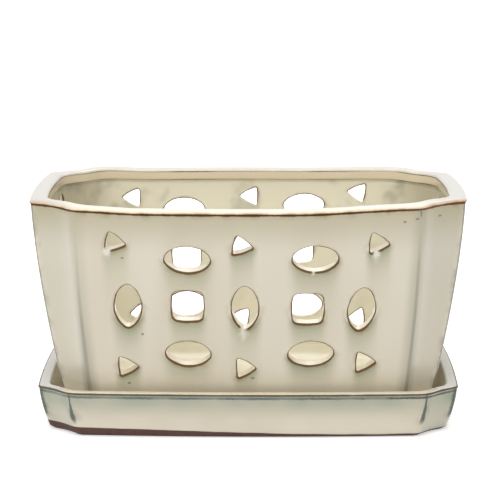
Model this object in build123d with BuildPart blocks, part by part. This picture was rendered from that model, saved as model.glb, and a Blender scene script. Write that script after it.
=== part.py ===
from build123d import *
import math
import os

# Orchid pot with slotted walls, standing in its drip tray.
# Millimetres, +Z up, X along the long sides. The origin is on the ground, under the middle of the tray.

# Pot: rim, base and height
POT_LENGTH = 254.0
POT_DEPTH = 159.0
POT_HEIGHT = 130.0
BASE_LENGTH = 213.0
BASE_DEPTH = 113.0
TAPER_POWER = 1.5  # 1 is a straight taper; more keeps the wall upright under the rim

# Pot outline: sides bow out between the ears, corners are scooped in
RIM_BOW_LONG = 5.5
RIM_BOW_SHORT = 2.5
BASE_BOW_LONG = 3.0
BASE_BOW_SHORT = 1.5
RIM_CORNER_LENGTH = 27.5  # run of a corner along the long side, ear to ear
RIM_CORNER_DEPTH = 23.5  # run of a corner along the short side, ear to ear
BASE_CORNER_LENGTH = 13.0
BASE_CORNER_DEPTH = 11.0
RIM_SCOOP = 3.5  # how deep a corner is hollowed behind its ears
BASE_SCOOP = 1.5
LONG_EAR_RADIUS = 7.0
SHORT_EAR_RADIUS = 3.0

# Pot walls, rim and floor
POT_WALL = 7.5
RIM_WIDTH = 9.5
BEAD_HEIGHT = 6.0  # bead that stands inward under the rim
BEAD_SLOPE = 2.5  # height of the bead's sloped underside
LIP_OUT = 0.8  # lip that stands outward at the rim
LIP_HEIGHT = 4.0
RIM_ROUND = 2.0
BASE_ROUND = 2.0
POT_FLOOR = 8.0
FLOOR_SCOOP = -1.0  # negative: the corners of the floor are rounded outward
FLOOR_COVE = 6.0
FLOOR_EAR_RADIUS = 4.0
DRAIN_DIAMETER = 20.0
DRAIN_SPACING = 100.0
FOOT_WIDTH = 10.0
FOOT_RISE = 2.5
WEEP_WIDTH = 12.0

# Slots: triangle, leaf, triangle in the outer columns; oval, square, oval between them
LONG_COLUMNS = 2  # columns either side of the middle one
SHORT_COLUMNS = 1
LONG_END_MARGIN = 28.0  # ear to the middle of the outer column
SHORT_END_MARGIN = 17.5
TOP_ROW_DROP = 21.0  # rim to the middle of the top triangles
BOTTOM_ROW_RISE = 35.0  # underside of the pot to the middle of the bottom triangles
TOP_SPREAD = 6.0  # the outer triangles of the top row stand this much further out
OVAL_INSET = 8.5  # the ovals stand this much nearer the middle row than the triangles
TRIANGLE_WIDTH = 12.0
TRIANGLE_HEIGHT = 13.0
TRIANGLE_ROUND = 1.5
LEAF_WIDTH = 16.5
LEAF_HEIGHT = 27.0
LEAF_ROUND = 2.5
OVAL_WIDTH = 27.0
OVAL_HEIGHT = 16.5
OVAL_ROUND = 4.0
SQUARE_WIDTH = 19.5
SQUARE_HEIGHT = 19.0
SQUARE_ROUND = 3.0

# Tray: follows the pot's base with a water gap all round
TRAY_HEIGHT = 27.5
TRAY_FLOOR = 7.0
TRAY_WALL = 6.2
WATER_GAP = 4.0
TRAY_FLARE = 5.7  # how far the tray's wall leans out
TRAY_CURVE = 1.6  # 1 is a straight wall; more turns the foot of the wall in
TRAY_COVE = 3.0
TRAY_LIP_OUT = 0.6
TRAY_LIP_HEIGHT = 3.0
TRAY_RIM_ROUND = 1.5
TRAY_FOOT_CHAMFER = 2.0
TRAY_FOOT_WIDTH = 9.0
TRAY_FOOT_RISE = 1.5

# Places that follow from the sizes above
POT_SEAT = TRAY_FLOOR
POT_TOP = POT_SEAT + POT_HEIGHT
CAVITY_FLOOR = POT_SEAT + POT_FLOOR
COVE_TOP = CAVITY_FLOOR + FLOOR_COVE
INSIDE_EAR_RADIUS = FLOOR_EAR_RADIUS + FLOOR_COVE


def outline(z, share, inset, scoop, long_radius, short_radius):
    """One level outline of the pot: bowed sides and scooped corners between rounded ears.

    share runs from 0 at the rim's sizes to 1 at the base's sizes, inset moves the whole outline inward
    (outward when negative) and scoop is the depth of the corner hollows.
    """
    half_length = (POT_LENGTH / 2 - LIP_OUT) * (1 - share) + BASE_LENGTH / 2 * share
    half_depth = (POT_DEPTH / 2 - LIP_OUT) * (1 - share) + BASE_DEPTH / 2 * share
    bow_long = RIM_BOW_LONG * (1 - share) + BASE_BOW_LONG * share
    bow_short = RIM_BOW_SHORT * (1 - share) + BASE_BOW_SHORT * share
    corner_length = RIM_CORNER_LENGTH * (1 - share) + BASE_CORNER_LENGTH * share
    corner_depth = RIM_CORNER_DEPTH * (1 - share) + BASE_CORNER_DEPTH * share

    # The ears move along the sides so that the corner face keeps the same inset as the sides
    turn = math.atan2(corner_depth, corner_length)
    long_x = half_length - bow_short - corner_length - inset * math.tan(turn / 2)
    long_y = half_depth - bow_long - inset
    short_x = half_length - bow_short - inset
    short_y = half_depth - bow_long - corner_depth - inset * math.tan(math.pi / 4 - turn / 2)
    hollow_x = (long_x + short_x) / 2 - scoop * math.sin(turn)
    hollow_y = (long_y + short_y) / 2 - scoop * math.cos(turn)
    side_x = half_length - inset
    side_y = half_depth - inset

    ears = [
        (-long_x, -long_y),
        (long_x, -long_y),
        (short_x, -short_y),
        (short_x, short_y),
        (long_x, long_y),
        (-long_x, long_y),
        (-short_x, short_y),
        (-short_x, -short_y),
    ]
    middles = [
        (0, -side_y),
        (hollow_x, -hollow_y),
        (side_x, 0),
        (hollow_x, hollow_y),
        (0, side_y),
        (-hollow_x, hollow_y),
        (-side_x, 0),
        (-hollow_x, -hollow_y),
    ]
    with BuildSketch(Plane.XY.offset(z)) as level:
        with BuildLine():
            for start, middle, end in zip(ears, middles, ears[1:] + ears[:1]):
                ThreePointArc(start, middle, end)
        make_face()
        by_length = level.vertices().group_by(Axis.X)
        fillet(by_length[0] + by_length[-1], short_radius)
        by_depth = level.vertices().group_by(Axis.Y)
        fillet(by_depth[0] + by_depth[-1], long_radius)
    return level.sketch


def outside(z, share, inset, scoop):
    """Outline of an outer surface, with its ears as they show."""
    return outline(z, share, inset, scoop, LONG_EAR_RADIUS, SHORT_EAR_RADIUS)


def inside(z, share, inset, scoop):
    """Outline of a hollow, with wide soft ears."""
    return outline(z, share, inset, scoop, INSIDE_EAR_RADIUS, INSIDE_EAR_RADIUS)


def taper(z):
    """Share of the taper, 0 at the rim and 1 at the underside of the pot."""
    return ((POT_TOP - z) / POT_HEIGHT) ** TAPER_POWER


def pot_outside(z):
    """Outer outline of the pot's wall at one height."""
    share = taper(z)
    return outside(z, share, 0, RIM_SCOOP * (1 - share) + BASE_SCOOP * share)


def pot_inside(z):
    """Inner outline of the pot's wall at one height."""
    share = taper(z)
    return inside(z, share, POT_WALL, RIM_SCOOP * (1 - share) + FLOOR_SCOOP * share)


def cove_level(turn):
    """Inner outline within the floor's cove, from 0 degrees at the floor to 90 at the wall."""
    z = COVE_TOP - FLOOR_COVE * math.cos(math.radians(turn))
    extra = FLOOR_COVE * (1 - math.sin(math.radians(turn)))
    share = taper(z)
    scoop = RIM_SCOOP * (1 - share) + FLOOR_SCOOP * share
    radius = INSIDE_EAR_RADIUS - extra
    return outline(z, share, POT_WALL + extra, scoop, radius, radius)


def tray_lean(z):
    """How far the tray's wall leans out at one height."""
    return TRAY_FLARE * (1 - (1 - z / TRAY_HEIGHT) ** TRAY_CURVE)


def levels(low, high, count=4):
    """Evenly spaced heights."""
    return [low + (high - low) * step / (count - 1) for step in range(count)]


# Slot shapes
def leaf(width, height, tip_radius):
    """Two arcs that meet in rounded tips, above and below."""
    with BuildSketch() as shape:
        with BuildLine():
            ThreePointArc((0, -height / 2), (width / 2, 0), (0, height / 2))
            mirror(about=Plane.YZ)
        make_face()
        fillet(shape.vertices(), tip_radius)
    return shape.sketch


with BuildSketch() as triangle_slot:
    with BuildLine():
        Polyline(
            (-TRIANGLE_WIDTH / 2, -TRIANGLE_HEIGHT / 2),
            (TRIANGLE_WIDTH / 2, 0),
            (-TRIANGLE_WIDTH / 2, TRIANGLE_HEIGHT / 2),
            close=True,
        )
    make_face()
    fillet(triangle_slot.vertices(), TRIANGLE_ROUND)

with BuildSketch() as square_slot:
    RectangleRounded(SQUARE_WIDTH, SQUARE_HEIGHT, SQUARE_ROUND)

leaf_slot = leaf(LEAF_WIDTH, LEAF_HEIGHT, LEAF_ROUND)
oval_slot = leaf(OVAL_HEIGHT, OVAL_WIDTH, OVAL_ROUND)

# Slot rows, measured up the leaning wall from the middle row
TOP_ROW = POT_TOP - TOP_ROW_DROP
BOTTOM_ROW = POT_SEAT + BOTTOM_ROW_RISE
MIDDLE_ROW = (TOP_ROW + BOTTOM_ROW) / 2
MIDDLE_SHARE = taper(MIDDLE_ROW)
LONG_LEAN = math.atan2((POT_DEPTH - BASE_DEPTH) / 2, POT_HEIGHT)
SHORT_LEAN = math.atan2((POT_LENGTH - BASE_LENGTH) / 2, POT_HEIGHT)


def slot_pattern(wall, columns, pitch, lean):
    """Three rows of slots on one leaning wall."""
    triangle_rise = (TOP_ROW - MIDDLE_ROW) / math.cos(lean)
    oval_rise = triangle_rise - OVAL_INSET
    with BuildSketch(wall) as slots:
        for column in range(-columns, columns + 1):
            x = column * pitch
            if (column + columns) % 2 == 0:
                spread = TOP_SPREAD * column / columns
                with Locations((x, -triangle_rise), (x + spread, triangle_rise)):
                    add(triangle_slot.sketch)
                with Locations((x, 0)):
                    add(leaf_slot)
            else:
                with Locations((x, -oval_rise), (x, oval_rise)):
                    add(oval_slot, rotation=90)
                with Locations((x, 0)):
                    add(square_slot.sketch)
    return slots.sketch


def mixed(rim_size, base_size):
    """A size part way down the taper, at the middle row of slots."""
    return rim_size * (1 - MIDDLE_SHARE) + base_size * MIDDLE_SHARE


ROW_LENGTH = mixed(POT_LENGTH, BASE_LENGTH)
ROW_DEPTH = mixed(POT_DEPTH, BASE_DEPTH)
LONG_EAR = (
    ROW_LENGTH / 2
    - mixed(RIM_BOW_SHORT, BASE_BOW_SHORT)
    - mixed(RIM_CORNER_LENGTH, BASE_CORNER_LENGTH)
)
SHORT_EAR = (
    ROW_DEPTH / 2
    - mixed(RIM_BOW_LONG, BASE_BOW_LONG)
    - mixed(RIM_CORNER_DEPTH, BASE_CORNER_DEPTH)
)
LONG_PITCH = (LONG_EAR - LONG_END_MARGIN) / LONG_COLUMNS
SHORT_PITCH = (SHORT_EAR - SHORT_END_MARGIN) / SHORT_COLUMNS
SLOT_REACH = 2 * POT_WALL + RIM_BOW_LONG  # each way from the outer face, through the bowed wall

# Orchid pot
with BuildPart() as orchid_pot:
    # Outside: tapered body with a rounded base, and the lip at the rim
    loft([pot_outside(z) for z in levels(POT_SEAT, POT_TOP)])
    fillet(orchid_pot.faces().sort_by(Axis.Z)[0].edges(), BASE_ROUND)
    extrude(outside(POT_TOP - LIP_HEIGHT, 0, -LIP_OUT, RIM_SCOOP), amount=LIP_HEIGHT)

    # Inside: hollow body with a coved floor, the bead's sloped underside, then the mouth
    bead_bottom = POT_TOP - BEAD_HEIGHT
    slope_bottom = bead_bottom - BEAD_SLOPE
    loft([cove_level(turn) for turn in levels(0, 90)], mode=Mode.SUBTRACT)
    loft([pot_inside(z) for z in levels(COVE_TOP, slope_bottom)], mode=Mode.SUBTRACT)
    mouth = inside(bead_bottom, 0, RIM_WIDTH, RIM_SCOOP)
    loft([pot_inside(slope_bottom), mouth], ruled=True, mode=Mode.SUBTRACT)
    extrude(mouth, amount=BEAD_HEIGHT, mode=Mode.SUBTRACT)
    fillet(orchid_pot.faces().sort_by(Axis.Z)[-1].edges(), RIM_ROUND)

    # Slots through the four walls; opposite walls match when the pot is turned half round
    for way in (1, -1):
        long_wall = Plane(
            origin=(0, -way * ROW_DEPTH / 2, MIDDLE_ROW),
            x_dir=(way, 0, 0),
            z_dir=(0, -way * math.cos(LONG_LEAN), -math.sin(LONG_LEAN)),
        )
        short_wall = Plane(
            origin=(way * ROW_LENGTH / 2, 0, MIDDLE_ROW),
            x_dir=(0, way, 0),
            z_dir=(way * math.cos(SHORT_LEAN), 0, -math.sin(SHORT_LEAN)),
        )
        extrude(
            slot_pattern(long_wall, LONG_COLUMNS, LONG_PITCH, LONG_LEAN),
            amount=SLOT_REACH,
            both=True,
            mode=Mode.SUBTRACT,
        )
        extrude(
            slot_pattern(short_wall, SHORT_COLUMNS, SHORT_PITCH, SHORT_LEAN),
            amount=SLOT_REACH,
            both=True,
            mode=Mode.SUBTRACT,
        )

    # Underside: foot ring with a weep notch beside each drain hole
    extrude(inside(POT_SEAT, 1, FOOT_WIDTH, BASE_SCOOP), amount=FOOT_RISE, mode=Mode.SUBTRACT)
    with BuildSketch(Plane.XY.offset(POT_SEAT)):
        with GridLocations(DRAIN_SPACING, 0, 2, 1):
            Rectangle(WEEP_WIDTH, BASE_DEPTH + 2 * FOOT_WIDTH)
    extrude(amount=FOOT_RISE, mode=Mode.SUBTRACT)
    with BuildSketch(Plane.XY.offset(POT_SEAT)):
        with GridLocations(DRAIN_SPACING, 0, 2, 1):
            Circle(DRAIN_DIAMETER / 2)
    extrude(amount=POT_FLOOR, mode=Mode.SUBTRACT)

# Drip tray
FOOT_OUT = WATER_GAP + TRAY_WALL  # from the pot's base outline to the tray's


def tray_outside(z):
    """Outer outline of the tray's wall at one height."""
    return outside(z, 1, -FOOT_OUT - tray_lean(z), BASE_SCOOP)


def tray_inside(z):
    """Inner outline of the tray's wall at one height."""
    return inside(z, 1, -WATER_GAP - tray_lean(z), BASE_SCOOP)


with BuildPart() as drip_tray:
    # Outside: leaning wall with a chamfered foot, and the lip at the rim
    loft([tray_outside(z) for z in levels(0, TRAY_HEIGHT)])
    chamfer(drip_tray.faces().sort_by(Axis.Z)[0].edges(), TRAY_FOOT_CHAMFER)
    lip_out = FOOT_OUT + TRAY_FLARE + TRAY_LIP_OUT
    extrude(outside(TRAY_HEIGHT - TRAY_LIP_HEIGHT, 1, -lip_out, BASE_SCOOP), amount=TRAY_LIP_HEIGHT)

    # Inside: the hollow that takes the pot and its drips
    loft([tray_inside(z) for z in levels(TRAY_FLOOR, TRAY_HEIGHT)], mode=Mode.SUBTRACT)
    fillet(drip_tray.faces().filter_by(Plane.XY).sort_by(Axis.Z)[1].edges(), TRAY_COVE)
    fillet(drip_tray.faces().sort_by(Axis.Z)[-1].edges(), TRAY_RIM_ROUND)

    # Underside: foot ring
    extrude(
        inside(0, 1, TRAY_FOOT_WIDTH - FOOT_OUT, BASE_SCOOP),
        amount=TRAY_FOOT_RISE,
        mode=Mode.SUBTRACT,
    )

os.makedirs("parts", exist_ok=True)
orchid_pot.part.label = "orchid_pot"
export_step(orchid_pot.part, "parts/orchid_pot.step")
drip_tray.part.label = "drip_tray"
export_step(drip_tray.part, "parts/drip_tray.step")
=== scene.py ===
"""Looks of the orchid pot with slotted walls and of its drip tray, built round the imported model.

Both pieces are hand-finished stoneware under one pale celadon glaze. Each is one closed shell, laid out
level by level from the same sizes as the solids. The slots are placed on the flat wall by Geometry Nodes,
then laid on the leaning walls, where the glaze breaks brown on their edges and gathers blue-green below.
"""

import logging
import math
from collections.abc import Callable
from dataclasses import dataclass, field
from enum import Enum
from functools import reduce

import bpy
import numpy as np
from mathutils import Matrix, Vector
from mathutils.geometry import delaunay_2d_cdt


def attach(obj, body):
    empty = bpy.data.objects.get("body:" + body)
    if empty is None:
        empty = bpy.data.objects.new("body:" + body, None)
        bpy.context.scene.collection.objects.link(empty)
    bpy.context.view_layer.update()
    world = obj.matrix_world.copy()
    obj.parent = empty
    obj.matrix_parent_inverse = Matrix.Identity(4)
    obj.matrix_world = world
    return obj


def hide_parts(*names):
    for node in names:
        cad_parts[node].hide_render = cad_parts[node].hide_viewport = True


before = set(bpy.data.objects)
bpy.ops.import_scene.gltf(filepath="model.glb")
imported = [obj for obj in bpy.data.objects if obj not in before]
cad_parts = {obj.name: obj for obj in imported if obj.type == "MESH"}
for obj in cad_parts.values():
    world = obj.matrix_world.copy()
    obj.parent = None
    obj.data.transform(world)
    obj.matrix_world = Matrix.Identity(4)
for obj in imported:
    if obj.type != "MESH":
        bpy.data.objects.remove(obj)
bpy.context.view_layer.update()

MM = 0.001
FAR = 99.0  # gap, in millimetres, of a point that is nowhere near the line it is measured from
TINY = 1e-12  # stands in for a length of nothing in a division
Array = np.ndarray
Band = tuple[float, float]
Point = tuple[float, float, float]
Colour = tuple[float, float, float]
Tint = tuple[Colour, float]  # a colour, and how far it hides what lies under it
Ramp = tuple[float, ...]  # where a soft step starts and stops, and what it gives there if not 0 and 1
Socket = bpy.types.NodeSocket
log = logging.getLogger("orchid_pot")


class SlotShape(Enum):
    """Outlines of the slots, numbered as the slot tree picks them."""

    TRIANGLE = 0
    LEAF = 1
    OVAL = 2
    SQUARE = 3


class Wall(Enum):
    """Walls of the pot, by quarter turns from the front one."""

    FRONT = 0
    RIGHT = 1
    BACK = 2
    LEFT = 3

    @property
    def is_long(self) -> bool:
        """Whether this is one of the two long walls."""
        return self.value % 2 == 0

    def place(self, along: Array, reach: Array, height: Array) -> Array:
        """Points of the piece, from distances right of the wall's middle, distances out and heights."""
        x, y = ((along, -reach), (reach, along), (-along, reach), (-reach, -along))[self.value]
        return np.column_stack([x, y, np.broadcast_to(height, np.shape(x))])

    def turned(self, points: Array) -> Array:
        """Rows of distance right of the wall's middle, distance out and height, for points of the piece."""
        x, y, z = points.T
        return np.column_stack([*((x, -y), (y, x), (-x, y), (-y, -x))[self.value], z])

    def flat(self, points: Array) -> Array:
        """Points seen square on to this wall: distance right of its middle, and height."""
        return self.turned(points)[:, [0, 2]]


class Face(Enum):
    """The two faces of a slotted wall."""

    OUTER = "outer"
    INNER = "inner"


SlotLoops = dict[Wall, dict[Face, list[Array]]]


def from_above(points: Array) -> Array:
    """Points seen from above."""
    return points[:, :2]


def rounding(steps: int) -> Array:
    """A quarter round in equal steps: how far each is from the start, and how far short of the end."""
    turns = np.radians(np.linspace(0, 90, steps + 1))
    return np.column_stack([1 - np.cos(turns), 1 - np.sin(turns)])


def on_circle(centre: Array, radius: float, towards: Array) -> Array:
    """Point of a circle that lies towards another point."""
    return centre + (towards - centre) * radius / np.linalg.norm(towards - centre)


def arc(centre: Array, start: Array, end: Array, steps: int) -> Array:
    """Points of the shorter arc between two points.

    Args:
        centre: Centre of the arc.
        start: First point.
        end: Last point.
        steps: Number of equal steps.

    Returns:
        steps + 1 points.
    """
    first = math.atan2(*(start - centre)[::-1])
    last = math.atan2(*(end - centre)[::-1])
    turn = (last - first + math.pi) % (2 * math.pi) - math.pi
    angles = first + turn * np.linspace(0, 1, steps + 1)
    return centre + np.linalg.norm(start - centre) * np.column_stack([np.cos(angles), np.sin(angles)])


def crossing(first: Array, first_radius: float, second: Array, second_radius: float, near: Array) -> Array:
    """Point where two circles cross.

    Args:
        first: Centre of one circle.
        first_radius: Its radius.
        second: Centre of the other circle.
        second_radius: Its radius.
        near: The crossing nearest to this point is taken.

    Returns:
        The crossing point.
    """
    apart = np.linalg.norm(second - first)
    way = (second - first) / apart
    run = (first_radius**2 - second_radius**2 + apart**2) / (2 * apart)
    rise = math.sqrt(max(first_radius**2 - run**2, 0))
    foot = first + run * way
    side = rise * np.array([-way[1], way[0]])
    return min((foot + side, foot - side), key=lambda p: np.linalg.norm(p - near))


def within(points: Array, loop: Array) -> Array:
    """Tells which points lie inside a closed flat loop.

    Args:
        points: Flat points.
        loop: Points of the loop, in order.

    Returns:
        True for each point inside.
    """
    ends = np.roll(loop, -1, axis=0)
    x, y = points[:, 0:1], points[:, 1:2]
    spans = (loop[:, 1] > y) != (ends[:, 1] > y)
    climb = ends[:, 1] - loop[:, 1]
    rise = np.where(np.abs(climb) < TINY, TINY, climb)
    cut = loop[:, 0] + (y - loop[:, 1]) * (ends[:, 0] - loop[:, 0]) / rise
    return (np.logical_and(spans, x < cut).sum(axis=1) % 2).astype(bool)


def gap_to(points: Array, loop: Array) -> Array:
    """Measures how far points lie from a closed flat loop.

    Args:
        points: Flat points.
        loop: Points of the loop, in order.

    Returns:
        Distance of each point.
    """
    run = np.roll(loop, -1, axis=0) - loop
    offset = points[:, None, :] - loop[None]
    share = np.clip((offset * run).sum(axis=2) / np.maximum((run**2).sum(axis=1), TINY), 0, 1)
    return np.linalg.norm(offset - share[..., None] * run, axis=2).min(axis=1)


def smooth(low: float, high: float, value: Array) -> Array:
    """Soft step from 0 at low to 1 at high."""
    share = np.clip((value - low) / (high - low), 0, 1)
    return share * share * (3 - 2 * share)


def run_along(path: Array) -> Array:
    """Distance of each point of a path from its start."""
    return np.concatenate([[0], np.cumsum(np.linalg.norm(np.diff(path, axis=0), axis=1))])


def keep_marks(mesh: bpy.types.Mesh, marks: dict[str, Array]) -> None:
    """Keeps numbers, given by name, at the points of a mesh."""
    for name, values in marks.items():
        mesh.attributes.new(name, "FLOAT", "POINT").data.foreach_set("value", values.astype(np.float32))


@dataclass(frozen=True)
class Level:
    """One level of a shell: its height, its share of the taper and how its outline is drawn."""

    z: float
    share: float
    inset: float
    scoop: float
    long_radius: float
    short_radius: float


@dataclass(frozen=True)
class Form:
    """Level outlines of the pot and the tray: bowed sides and scooped corners between rounded ears."""

    # Sizes at the rim and at the base
    length: Band = (252.4 * MM, 213 * MM)
    depth: Band = (157.4 * MM, 113 * MM)
    bow_long: Band = (5.5 * MM, 3 * MM)
    bow_short: Band = (2.5 * MM, 1.5 * MM)
    corner_length: Band = (25.5 * MM, 15 * MM)
    corner_depth: Band = (22.5 * MM, 12.5 * MM)

    # Least hollow of a corner, and steps of a quarter's parts
    least_scoop: float = 0.02 * MM
    long_steps: int = 42
    short_steps: int = 20
    long_ear_steps: int = 8
    hollow_steps: int = 10
    short_ear_steps: int = 6

    @property
    def quarter_steps(self) -> int:
        """Steps from the middle of a long side to the middle of a short one."""
        ears = self.long_ear_steps + self.hollow_steps + self.short_ear_steps
        return self.long_steps + ears + self.short_steps

    def side_columns(self, wall: Wall) -> Array:
        """Places along a level's loop that lie on one wall, out to the ridges of the short walls' ears."""
        half = self.long_steps if wall.is_long else self.short_steps + self.short_ear_steps // 2
        return (wall.value * self.quarter_steps + np.arange(-half, half + 1)) % (4 * self.quarter_steps)

    def mixed(self, rim: float, base: float, share: Array | float) -> Array | float:
        """A size part way down the taper."""
        return rim * (1 - share) + base * share

    def ears(self, share: Array | float, inset: Array | float) -> dict[str, Array | float]:
        """Ears and side middles of an outline.

        Args:
            share: Share of the taper, 0 at the rim and 1 at the base.
            inset: How far the outline is drawn in.

        Returns:
            The places of the ears and side middles in one quarter, by name.
        """
        half_length, half_depth = (self.mixed(*size, share) / 2 for size in (self.length, self.depth))
        bow_long, bow_short = (self.mixed(*bow, share) for bow in (self.bow_long, self.bow_short))
        corner_length = self.mixed(*self.corner_length, share)
        corner_depth = self.mixed(*self.corner_depth, share)
        turn = np.arctan2(corner_depth, corner_length)
        return {
            "turn": turn,
            "long_x": half_length - bow_short - corner_length - inset * np.tan(turn / 2),
            "long_y": half_depth - bow_long - inset,
            "short_x": half_length - bow_short - inset,
            "short_y": half_depth - bow_long - corner_depth - inset * np.tan(math.pi / 4 - turn / 2),
            "side_x": half_length - inset,
            "side_y": half_depth - inset,
        }

    def reach(self, wall: Wall, along: Array, levels: list[Level]) -> Callable[[Array], Array]:
        """How far out a wall stands.

        Args:
            wall: The wall.
            along: Distance of each point from the wall's middle.
            levels: Levels of one face of the wall, from the lowest up.

        Returns:
            A function of the points' heights that gives their distances from the upright axis plane.
        """
        columns = self.side_columns(wall)
        rows = [wall.turned(self.loop(level)[columns]) for level in levels]
        stands = np.array([np.interp(along, row[:, 0], row[:, 1]) for row in rows])
        heights = [level.z for level in levels]
        every = np.arange(len(along))

        def at(z: Array) -> Array:
            """Gives the reach of the points.

            Args:
                z: Height of each point.

            Returns:
                Its distance from the upright axis plane.
            """
            # Just short of the last level, so that there is always one above
            place = np.clip(np.interp(z, heights, np.arange(len(heights))), 0, len(heights) - 1.001)
            low = place.astype(int)
            share = place - low
            return stands[low, every] * (1 - share) + stands[low + 1, every] * share

        return at

    def quarter(self, level: Level) -> Array:
        """Draws a quarter of an outline.

        Args:
            level: The level.

        Returns:
            Points from the middle of a long side to the middle of a short one, in the first quadrant.
        """
        at = self.ears(level.share, level.inset)
        long_ear = np.array([at["long_x"], at["long_y"]])
        short_ear = np.array([at["short_x"], at["short_y"]])
        long_middle = np.array([0, at["side_y"]])
        short_middle = np.array([at["side_x"], 0])

        # Circles of the two sides and of the corner's hollow
        long_bow = at["side_y"] - at["long_y"]
        long_size = (at["long_x"] ** 2 + long_bow**2) / (2 * long_bow)
        long_centre = long_middle - [0, long_size]
        short_bow = at["side_x"] - at["short_x"]
        short_size = (at["short_y"] ** 2 + short_bow**2) / (2 * short_bow)
        short_centre = short_middle - [short_size, 0]
        inward = -np.array([math.sin(at["turn"]), math.cos(at["turn"])])
        half_chord = np.linalg.norm(short_ear - long_ear) / 2
        scoop = level.scoop if abs(level.scoop) > self.least_scoop else self.least_scoop
        way = math.copysign(1, scoop)
        hollow_size = (half_chord**2 + scoop**2) / (2 * abs(scoop))
        hollow_centre = (long_ear + short_ear) / 2 + inward * (scoop - way * hollow_size)

        def ear(centre: Array, size: float, near: Array, radius: float) -> tuple[Array, Array, Array]:
            """Rounds an ear: its centre, and where it leaves the side's circle and the hollow."""
            middle = crossing(centre, size - radius, hollow_centre, hollow_size + way * radius, near)
            return middle, on_circle(centre, size, middle), on_circle(hollow_centre, hollow_size, middle)

        ear_1, side_1, hollow_1 = ear(long_centre, long_size, long_ear, level.long_radius)
        ear_2, side_2, hollow_2 = ear(short_centre, short_size, short_ear, level.short_radius)
        runs = [
            arc(long_centre, long_middle, side_1, self.long_steps),
            arc(ear_1, side_1, hollow_1, self.long_ear_steps),
            arc(hollow_centre, hollow_1, hollow_2, self.hollow_steps),
            arc(ear_2, hollow_2, side_2, self.short_ear_steps),
            arc(short_centre, side_2, short_middle, self.short_steps),
        ]
        return np.vstack([run[:-1] for run in runs] + [runs[-1][-1:]])

    def loop(self, level: Level) -> Array:
        """Draws a whole outline.

        Args:
            level: The level.

        Returns:
            Points, anticlockwise from the middle of the front.
        """
        quarter = self.quarter(level)
        there, back = quarter[:-1], quarter[:0:-1]
        flat = np.vstack([there * [1, -1], back, there * [-1, 1], back * [-1, -1]])
        return np.column_stack([flat, np.full(len(flat), level.z)])

    def ear_gaps(self, level: Level) -> dict[str, Array]:
        """Distance of each point of a level's loop from the ridges of its ears, in millimetres.

        Args:
            level: The level.

        Returns:
            Signed gaps from the long and the short ears; the corner's hollow lies between them.
        """
        run = run_along(self.quarter(level)) / MM
        long_ridge = self.long_steps + self.long_ear_steps // 2
        short_ridge = self.quarter_steps - self.short_steps - self.short_ear_steps // 2
        gaps = {}
        for name, gap in (("long_gap", run - run[long_ridge]), ("short_gap", run[short_ridge] - run)):
            gaps[name] = np.concatenate([gap[:-1], gap[:0:-1], gap[:-1], gap[:0:-1]])
        return gaps


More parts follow.
